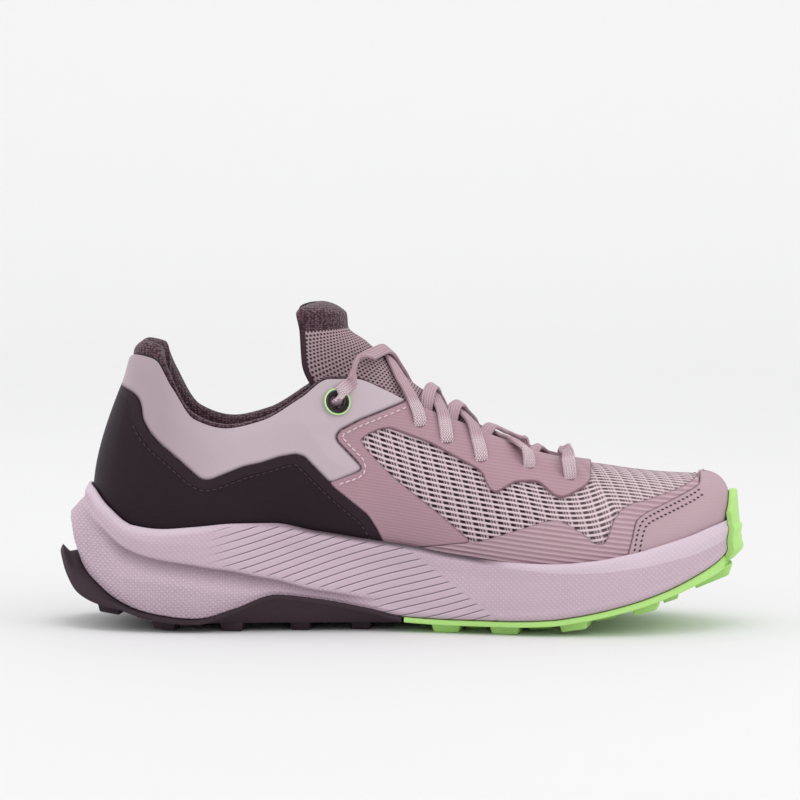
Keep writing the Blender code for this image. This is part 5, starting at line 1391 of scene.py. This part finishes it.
def woven(name, path, wide, tails):
    """A lace's body along a path, with ribs along it. It narrows over the last few millimetres of a
    tail to fit the hole."""
    tangent = unit(np.gradient(path, axis=0))
    wide = unit(wide - tangent * (wide * tangent).sum(1, keepdims=True))
    up = np.cross(tangent, wide)
    up *= 1.0 if up[len(up) // 2, 2] > 0 else -1.0
    run = run_along(path)
    from_start, from_end = run + (tails[0] is None), run[-1] - run + (tails[1] is None)
    nearest = np.minimum(from_start, from_end)
    width = 0.52 + 0.48 * np.clip(nearest / 0.0045, 0, 1) ** 0.55
    angle = np.linspace(0, 2 * math.pi, 49)
    side, level = np.cos(angle), np.sin(angle)
    side = np.sign(side) * np.abs(side) ** 0.75
    ribs = 1 + 0.16 * np.cos(side * math.pi * LACE_RIBS)
    level = np.sign(level) * np.abs(level) ** 0.55 * ribs * 0.5 + 0.5
    loops = path[:, None] + wide[:, None] * (side * 0.5)[:, None] * LACE_WIDTH * width[:, None, None]
    loops = loops + up[:, None] * (level * LACE_THICK)[:, None]
    marks = np.stack(np.broadcast_arrays(side * 0.5, run[:, None], nearest[:, None]), -1)
    return surface(
        name, [loops], caps=[loops[0, :-1], loops[-1, :-1]], sharp=75,
        marks=[marks, marks[0, :-1], marks[-1, :-1]],
    )


def ribbon(name, trees, start, end, tails, steepest):
    """A lace from start to end: straight in plan, taut over what lies below it and level across it.
    A tail is the rest of its way at an end, over the face and down into a hole, with the normals
    it lies square to."""
    share = np.linspace(0, 1, 61)
    plan = start + (end - start) * share[:, None]
    onward = unit(end - start)
    across = np.array([-onward[1], onward[0]])
    offsets = np.linspace(-0.5, 0.5, 9) * LACE_WIDTH
    below = np.array([[resting_height(trees, *(p + across * o)) for o in offsets] for p in plan])
    tilt = np.array([np.polyfit(offsets, row, 1)[0] for row in below])
    tilt = smoothed(np.clip(tilt, -steepest, steepest), 7)
    clear = (below - tilt[:, None] * offsets).max(1) + LACE_REST * np.sqrt(1 + tilt**2)
    path = np.column_stack([plan, smoothed(taut(share, clear), 2) + 0.0001])
    wide = np.column_stack([np.tile(across, (len(path), 1)), tilt])
    for tail, at_end in zip(tails, (False, True)):
        if tail is None:
            continue
        places, normals = tail
        if at_end:
            path, wide = path[::-1], wide[::-1]
        joined = np.concatenate([places[::-1], path])
        way = np.gradient(joined, axis=0)[: len(places)]
        square = unit(np.cross(normals[::-1], way))
        square *= np.where((square * wide[0]).sum(1, keepdims=True) < 0, -1.0, 1.0)
        wide = np.concatenate([square, unit(wide)])
        path, near = joined, slice(1, len(places) + 12)
        path[near], wide[near] = smoothed(path, 2)[near], smoothed(wide, 5)[near]
        if at_end:
            path, wide = path[::-1], wide[::-1]
    return woven(name, path, wide, tails)


def into_hole(number, side):
    """The end of a lace: a short quarter turn down through a hole, and its normals."""
    centre, axis, at, up = sides[number, side]
    turn = np.linspace(0, 1, 8)[:, None]
    down = unit(wall_point(at, up - 0.02) - centre)
    sunk = LACE_REST + 0.0008 - 0.0050 * turn**1.6
    places = centre + axis * sunk + down * 0.0007 * np.sin(turn * math.pi / 2)
    return places, np.tile(axis, (8, 1)) + down * turn * 1.2


def into_ring(side):
    """The end of the first lace: over the panel's edge, down its face and into the top eyelet."""
    centre, axis, at, up = sides[0, side]
    share = np.linspace(0.08, 1, 16)
    station = side * RING_CREST + (at - side * RING_CREST) * share
    height = 1.0 + (up + 0.035 - 1.0) * share
    normal = wall_normal(station, np.clip(height, 0, 0.995))
    over_edge = 0.0010 * np.exp(-((share / 0.22) ** 2))
    lift = OVERLAY + GAP + 0.0012 + over_edge + 0.0012 * np.clip((share - 0.40) / 0.30, 0, 1)
    face = wall_point(station, height) + normal * lift[:, None]
    turn = np.linspace(0.12, 1, 8)[:, None]
    down = unit(wall_point(at, up - 0.02) - centre)
    dive = face[-1] + (centre - face[-1]) * np.sin(turn * math.pi / 2) * 0.9 - axis * 0.0050 * turn**2
    return np.concatenate([face, dive]), np.concatenate([normal, axis + down * turn * 1.2])


def edge_of_throat(number, side, forward):
    """A place just inside the throat's edge beside a hole, a little ahead of it in plan, or
    behind it where forward is below zero."""
    crest = wall_point(sides[number, side][2] + side * forward, 1.0)
    return np.array([crest[0], crest[1] - side * INSIDE_WALL])


lace_weave = new_material("lace_weave", LACE_WEAVE, 0.72, Specular_IOR_Level=0.3, Sheen_Weight=0.2)
across_lace, run_lace, from_hole = on_cloth(lace_weave.node_tree)
ribs = maths("COSINE", across_lace * (2 * math.pi * LACE_RIBS))
picks = maths("SINE", run_lace * (2 * math.pi / PICK_PITCH))
colour = blend(ramp(ribs, -1.0, 0.4, 1.0, 0.0) * 0.45, LACE_WEAVE, LACE_FURROW)
dots = maths("GREATER_THAN", ribs * picks, 0.20) * ramp(from_hole, 0.0125, 0.0165, 1.0, 0.0)
colour = blend(dots * 0.75, colour, LACE_DOT)
colour, _ = moulded(lace_weave, colour, 0.0006, 0.15)
paint(lace_weave, colour, ribs + picks * 0.35, 0.00012)

bpy.context.view_layer.update()
graph = bpy.context.evaluated_depsgraph_get()
supports = [BVHTree.FromObject(piece, graph) for piece in (upper, panel, *eyestay, tongue, *rims)]
LAST = len(EYELETS["at"]) - 1


def lay(name, start, end, tails, node, steepest=1.2):
    """Lays one lace, dresses it and lets the next ones rest on it."""
    lace = ribbon(name, supports, start, end, tails, steepest)
    finished(lace, lace_weave, "lace_weave", node)
    bpy.context.view_layer.update()
    supports.append(BVHTree.FromObject(lace, bpy.context.evaluated_depsgraph_get()))


lay(
    "lace_over_toe", sides[LAST, -1][0][:2], sides[LAST, 1][0][:2],
    [into_hole(LAST, -1), into_hole(LAST, 1)], "lace_bar",
)
for number in range(LAST - 1, -1, -1):
    for side in (-1, 1):
        if number == LAST - 1:
            start, first = edge_of_throat(LAST, side, -0.012), None
        else:
            start, first = sides[number + 1, side][0][:2], into_hole(number + 1, side)
        if number == 0:
            end, last = wall_point(-side * RING_CREST, 1.0)[:2], into_ring(-side)
        else:
            end, last = edge_of_throat(number, -side, 0.010), None
        way = "inner" if side < 0 else "outer"
        node, steepest = f"lace_crossing_{number + 1}", 1.2 if number else 3.0
        lay(f"lace_{number + 1}_{way}", start, end, [first, last], node, steepest)

# Stitches: short thread runs sunk in the skins, each a small capsule.


def beside(line, offset):
    """A line in the side view moved to its left by an offset, square to its direction."""
    way = unit(np.gradient(line, axis=0))
    return line + np.column_stack([-way[:, 1], way[:, 0]]) * offset


def spaced(line, pitch):
    """Places along a line at an even pitch, after its corners are eased."""
    parts = [np.linspace(a, b, 12, endpoint=False) for a, b in zip(line[:-1], line[1:])]
    fine = smoothed(np.concatenate([*parts, line[-1:]]), 5)
    run = run_along(fine)
    at = np.arange(pitch / 2, run[-1], pitch)
    return np.column_stack([np.interp(at, run, fine[:, i]) for i in (0, 1)])


def on_wall(places, side):
    """The station and height of side-view places: the nearest point of a coarse grid, then four
    steps of Newton's method on the wall's x and z."""
    stations, heights = np.linspace(0.02, 0.98, 193), np.linspace(0.02, 1, 50)
    station, height = (grid.ravel() for grid in np.meshgrid(stations, heights, indexing="ij"))
    grid = wall_point(side * station, height)
    nearest = ((grid[:, 0] - places[:, :1]) ** 2 + (grid[:, 2] - places[:, 1:]) ** 2).argmin(1)
    at, up, step = side * station[nearest], height[nearest], 1e-4
    for _ in range(4):
        here = wall_point(at, up)[:, [0, 2]]
        along_at = (wall_point(at + step, up)[:, [0, 2]] - here) / step
        along_up = (wall_point(at, up + step)[:, [0, 2]] - here) / step
        miss = places - here
        det = along_at[:, 0] * along_up[:, 1] - along_at[:, 1] * along_up[:, 0]
        det = np.where(np.abs(det) < 1e-9, 1e-9, det)
        at = at + np.clip((miss[:, 0] * along_up[:, 1] - miss[:, 1] * along_up[:, 0]) / det, -0.01, 0.01)
        up = up + np.clip((miss[:, 1] * along_at[:, 0] - miss[:, 0] * along_at[:, 1]) / det, -0.02, 0.02)
    return at, np.clip(up, 0, 1)


def stitch_row(name, line, pitch, long, thick, lift, material, slot, turn=0.0):
    """Capsules at an even pitch along a line on both sides, turned from its direction and bedded in
    the face that stands off the wall by lift."""
    angle = np.linspace(0, 2 * math.pi, 9)[:, None]
    cap = np.array([-1.0, -0.92, -0.6, 0.0, 0.6, 0.92, 1.0])[:, None, None]
    girth = np.sqrt(np.clip(1 - np.abs(cap) ** 4, 0.02, 1))
    centre = spaced(line, pitch)
    way = unit(np.gradient(centre, axis=0))
    c, s = math.cos(turn), math.sin(turn)
    way = np.column_stack([way[:, 0] * c - way[:, 1] * s, way[:, 0] * s + way[:, 1] * c])
    grids = []
    for side in (-1, 1):
        at, up = on_wall(centre, side)
        middle, normal = wall_point(at, up), wall_normal(at, up)
        tangent = unit(wall_point(*on_wall(centre + way * 0.0005, side)) - middle)
        for m, t, n, b in zip(middle + normal * lift, tangent, normal, np.cross(normal, tangent)):
            spoke = np.cos(angle) * b + np.sin(angle) * n
            grids.append(m + t * cap * long / 2 + girth * thick / 2 * spoke)
    finished(surface(name, grids, sharp=80), material, slot)


dark_thread, pale_thread = (
    plain(name, colour, 0.7, 0.0003, 0.3, 0.00008, Specular_IOR_Level=0.3)
    for name, colour in (("dark_thread", (0.045, 0.026, 0.034)), ("pale_thread", (0.66, 0.52, 0.56)))
)
cap_edge = side_line(
    (0.8110, 0.270), (0.8140, 0.320), (0.8195, 0.370), (0.8260, 0.410), (0.8390, 0.434), (0.8650, 0.462),
    (0.8880, 0.486), (0.9080, 0.508), (0.9160, 0.520),
)
for name, offset in (("toe_cap_stitch_1", -0.0015), ("toe_cap_stitch_2", -0.0037)):
    stitch_row(
        name, beside(cap_edge, offset), 0.0019, 0.0012, 0.0007, FACE + 0.0003, dark_thread,
        "overlay_skin", turn=-0.5,
    )
counter_edge = side_line(
    (0.117, 0.773), (0.125, 0.733), (0.135, 0.701), (0.165, 0.635), (0.194, 0.569), (0.204, 0.556),
    (0.217, 0.558), (0.264, 0.605), (0.288, 0.619), (0.314, 0.641), (0.336, 0.652), (0.347, 0.644),
    (0.370, 0.585), (0.393, 0.527), (0.416, 0.478), (0.438, 0.431), (0.450, 0.390), (0.459, 0.347),
)
stitch_row(
    "counter_stitch", beside(counter_edge, -0.0042), 0.0027, 0.0020, 0.0006, FACE + 0.0001, dark_thread,
    "counter_skin",
)
panel_seam = side_line(
    (0.492, 0.838), (0.470, 0.817), (0.428, 0.779), (0.412, 0.762), (0.398, 0.742), (0.3925, 0.726),
    (0.3920, 0.710), (0.395, 0.694), (0.405, 0.665), (0.4180, 0.633), (0.4270, 0.609), (0.4275, 0.601),
    (0.423, 0.590), (0.405, 0.576), (0.390, 0.565),
)
stitch_row(
    "panel_stitch", beside(panel_seam, 0.0030), 0.0027, 0.0021, 0.0007, FACE + 0.0002, pale_thread,
    "overlay_skin", turn=0.12,
)
